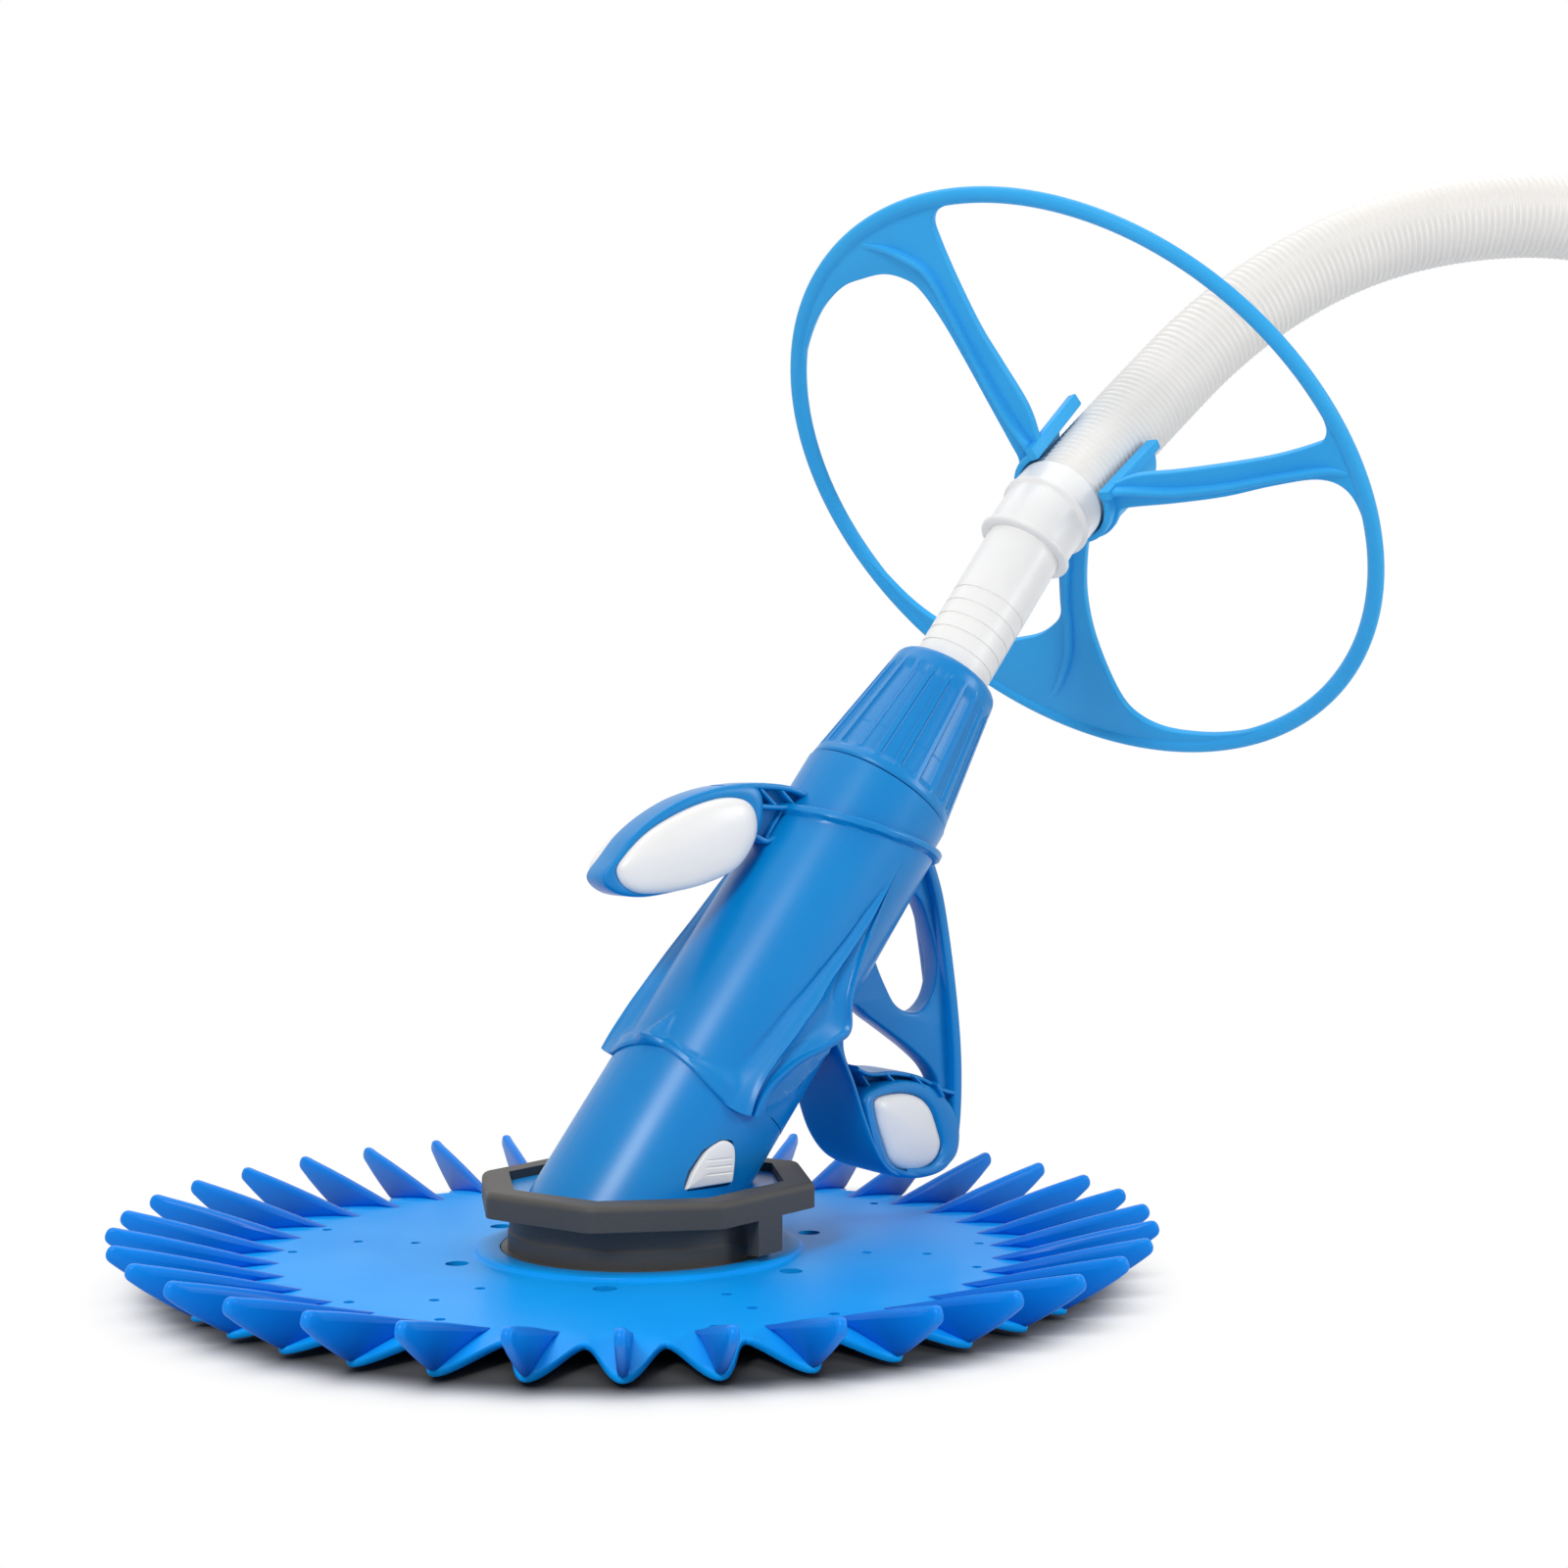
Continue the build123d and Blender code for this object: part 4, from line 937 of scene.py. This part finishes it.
# Release buttons: two white push buttons low on the barrel, one each side, on small springs.
# Each is a cushioned half oval with fine grip grooves across it.


def pillow(outline, middle, levels, shrink):
    """Cushioned disc: an outline in X and Z, shrunk towards a middle as it goes through the Y levels."""
    ring = middle + (outline[None] - middle) * np.asarray(shrink)[:, None, None]
    side = np.broadcast_to(np.asarray(levels, float)[:, None, None], ring[..., :1].shape)
    points = np.concatenate([ring[..., :1], side, ring[..., 1:]], -1).reshape(-1, 3)
    return points, lattice(len(levels), len(outline), False, True)


button_knots = np.array(
    [
        (0, 0), (0.06, 0.005), (0.45, 0.03), (0.88, 0.055), (0.94, 0.075), (0.965, 0.2), (0.99, 0.45),
        (1, 0.66), (0.97, 0.86), (0.84, 0.985), (0.68, 0.985), (0.42, 0.8), (0.18, 0.43), (0.02, 0.07),
    ]
)
groove_places = np.array([0.3, 0.45, 0.6])
groove_depth = 0.4
for name, side in (("near", -1), ("far", 1)):
    low, high = (np.array(corner) * 1000 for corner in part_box("release_button_" + name))
    span = high - low
    outline = flowing(low[[0, 2]] + span[[0, 2]] * button_knots, 240)
    middle = np.array([low[0] + span[0] * 0.6, (low[2] + high[2]) / 2])
    inner_face, outer_face = (high[1], low[1]) if side < 0 else (low[1], high[1])
    crown = np.linspace(0.9, 0, 46)
    rise = np.concatenate([[0, 0, 0, 0.45, 0.72, 0.82], 1 - 0.12 * (crown / 0.9) ** 3])
    shrink = np.concatenate([[0, 0.6, 0.99, 0.99, 0.97, 0.94], crown])
    levels = inner_face + (outer_face - inner_face) * rise
    points, faces = pillow(outline, middle, levels, shrink)
    across, above = ((points[:, axis] - low[axis]) / span[axis] for axis in (0, 2))
    groove = np.exp(-(((above[:, None] - groove_places) / 0.014) ** 2)).sum(1)
    groove = groove * smooth_step(across, 0.36, 0.5) * (1 - smooth_step(across, 0.86, 0.94))
    groove = np.where(np.abs(points[:, 1] - outer_face) < np.abs(points[:, 1] - inner_face), groove, 0)
    points[:, 1] += groove_depth * groove * np.sign(inner_face - outer_face)
    rides = "button_" + name
    button = mesh_piece("push_" + rides, points, faces, white_plastic, rides, 70)
    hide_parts("release_button_" + name)
    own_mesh(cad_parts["button_spring_" + name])

# Hand nut: a fluted blue cone screwed on the top of the barrel; it holds the swivel tube down.
# Its side has wide shallow flutes with round ends, and its lip is rounded to the mouth.
nut_side = np.concatenate([[213.9, 214.2, 214.8], np.linspace(216, 278.5, 52)])
nut_wide = 36 - 9.4 * (nut_side - 213.4) / 65.1 - np.interp(nut_side, [213.9, 214.8], [0.6, 0])
round_turn = np.radians([20, 40, 60, 78])
nut_crown = np.stack([23.2 + 3.3 * np.cos(round_turn), 278.5 + 4.5 * np.sin(round_turn)], -1)
nut_inside = np.array(
    [
        (21.6, 283), (20.6, 282.4), (20.5, 281), (20.5, 275), (23.6, 271),
        (27.5, 243), (27.5, 235.5), (31.5, 235), (31.5, 213.9),
    ]
)
profile = np.concatenate([np.stack([nut_wide, nut_side], -1), nut_crown, nut_inside])
flute_count = 20
flute_pitch = 360 / flute_count
turn = np.linspace(0, 2 * np.pi, 20 * flute_count, endpoint=False)
from_flute = np.abs((np.degrees(turn) / flute_pitch + 0.5) % 1 - 0.5) * flute_pitch
hollow = 1 - smooth_step(from_flute, 6.0, 6.9)
ends = smooth_step(profile[:, 1], 219, 220.5) * (1 - smooth_step(profile[:, 1], 268, 276))
ends[len(nut_side):] = 0
flute_depth = 1.5
radius = profile[None, :, 0] - flute_depth * hollow[:, None] * ends[None]
points = leaned(carried(turn, radius, profile[:, 1])).reshape(-1, 3)
faces = lattice(*radius.shape, True, True)
nut = mesh_piece("fluted_nut", points, faces, body_blue, "nut", 45)
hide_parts("hand_nut")

# Deflector wheel: a light blue hoop on three flat spokes, clipped round the hose by its split hub.
# The spokes widen to webs at the hoop, each with a rib along both faces; it turns as the hose passes.
wheel_blue = moulded("wheel_blue", tint(60, 175, 239), tint(52, 165, 232), 0.36, 900, 0.02, 0.4, 0.1)
wheel_along = 30
wheel_middle = bend_point + wheel_along * hose_axis
wheel_across = np.cross((0, 1, 0), hose_axis)
wheel_across = wheel_across / np.linalg.norm(wheel_across)
wheel_side = np.cross(hose_axis, wheel_across)


def on_wheel(local):
    """Wheel coordinates (across, side, along the hose) as places in the frame."""
    across, side, along = np.split(np.asarray(local, float), 3, -1)
    return wheel_middle + across * wheel_across + side * wheel_side + along * hose_axis


def polar(radius_turns):
    """Places in the wheel's plane from radius and angle in degrees."""
    radius, turn = np.asarray(radius_turns, float).T
    return radius[:, None] * np.stack([np.cos(np.radians(turn)), np.sin(np.radians(turn))], -1)


def arc(radius, first, last, count):
    """Evenly spaced radius and angle pairs along an arc."""
    return [(radius, float(angle)) for angle in np.linspace(first, last, count)]


# Openings between the spokes, as pairs of radius and angle.
upper_gap = [(32, 183), (49.5, 187.5), (73.5, 185.3), (94, 184.2), (118, 184.8), (141, 185.8),
             (153, 187), (158.6, 191)]
upper_gap += arc(159.2, 199, 263, 9) + [(158.5, 270), (154, 273), (146, 273.9), (124, 274.8),
                                        (97, 274.9), (68, 274.2), (45.6, 272), (32, 274)]
upper_gap += arc(24.2, 276, 280, 2) + arc(24.2, 284, 536, 40)
right_gap = [(30, 306), (36, 298.6), (61, 290), (90, 285.4), (118, 282), (142, 280.9), (154, 283),
             (158.6, 288)]
right_gap += arc(159.2, 295, 344, 8) + [(158.3, 352), (156.5, 360), (154, 367.4), (151, 373.4),
                                        (145, 378), (135, 381.1), (114, 383.7), (89, 385.9),
                                        (64, 385.9), (40, 380), (30, 371)]
right_gap += arc(29, 358, 318, 4)
left_gap = [(31, 50), (50, 41.5), (73, 38.7), (85, 38), (95, 40.3), (107, 44.3), (118, 49.2),
            (133, 55.5), (146, 63.5), (154.5, 74), (158.5, 86)]
left_gap += arc(159.2, 94, 130, 6) + [(157.5, 138), (154.7, 148), (150.5, 157), (145, 163),
                                      (139.6, 168.4), (132.5, 172), (124, 174), (106, 173.9)]
left_gap += [(84, 171.6), (57, 165.3), (38, 155)] + arc(29, 143, 62, 5)
gaps = [flowing(polar(gap), 6 * len(gap)) for gap in (upper_gap, right_gap, left_gap)]
web_points, web_faces = plate([polar(arc(163, 0, 357, 120)), *gaps], 2.0, 0.8)
pieces = [(on_wheel(web_points), web_faces)]
turn = np.linspace(0, 2 * np.pi, 240, endpoint=False)
round_turn = np.linspace(0, 2 * np.pi, 20, endpoint=False)
hoop_radius = 162.2 + 4.2 * np.cos(round_turn)
hoop_along = 3.6 * np.sin(round_turn) - 0.7 * np.cos(round_turn)
hoop = carried(turn, hoop_radius, hoop_along)
pieces.append((on_wheel(hoop).reshape(-1, 3), lattice(*hoop.shape[:2], True, True)))
ribs = (
    [(26, 172), (50, 173), (78, 176.5), (107, 179), (128.7, 179.6), (140, 177), (148.8, 173.4),
     (157, 168.8)],
    [(26, 281), (39, 281), (64, 282.8), (92, 281.5), (114, 280), (132, 279.2), (149, 279), (158, 280.3)],
    [(26, 33), (45, 34), (67.5, 35.4), (90, 34.3), (110, 34.5), (132, 36.7), (150, 39.1)],
)
for rib in ribs:
    line = drawn(polar(rib), 8)
    share = np.linspace(0, 1, len(line))
    tall = 7.0 - 1.4 * smooth_step(share, 0, 0.5) - 3.4 * smooth_step(share, 0.75, 1)
    off_line = 1.9 * broad(np.cos(round_turn), 0.7)
    flat = line[:, None] + normals(line)[:, None] * off_line[None, :, None]
    high = tall[:, None] * broad(np.sin(round_turn), 0.45)[None]
    points, faces = capped(np.concatenate([flat, high[..., None]], -1))
    pieces.append((on_wheel(points), faces))
clip_low, clip_high = -8, 37
clip_flare = 2.5
clip_outline = eased([(23.7, clip_low), (27.2, clip_low), (29.2, clip_high), (26.2, clip_high)], 1.2)
turn = np.radians(np.linspace(-79, 177, 96))
points, faces = capped(carried(turn, clip_outline[:, 0], clip_outline[:, 1]))
pieces.append((on_wheel(points), faces))
for angle in (-80, 178):
    outward = np.array([math.cos(math.radians(angle)), math.sin(math.radians(angle))])
    tangent = np.array([-outward[1], outward[0]])
    corner = eased([(23.7, -2.6), (30.5, -2.6), (30.5, 2.6), (23.7, 2.6)], 1.0)
    ends = np.array([-8.4, -8.4, -7.6, 36.6, 37.4, 37.4])
    grow = np.array([0.02, 0.9, 1, 1, 0.9, 0.02])
    shape = corner.mean(0) + (corner - corner.mean(0))[None] * grow[:, None, None]
    shape[..., 0] += np.interp(ends, [clip_low, clip_high], [0, clip_flare])[:, None]
    flat = shape[..., :1] * outward + shape[..., 1:] * tangent
    bar = np.concatenate([flat, np.broadcast_to(ends[:, None, None], flat[..., :1].shape)], -1)
    pieces.append((on_wheel(bar).reshape(-1, 3), lattice(len(ends), len(corner), False, True)))
points, faces = joined(*pieces)
wheel = mesh_piece("deflector_hoop", points, faces, wheel_blue, "wheel", 55)
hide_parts("deflector_wheel")
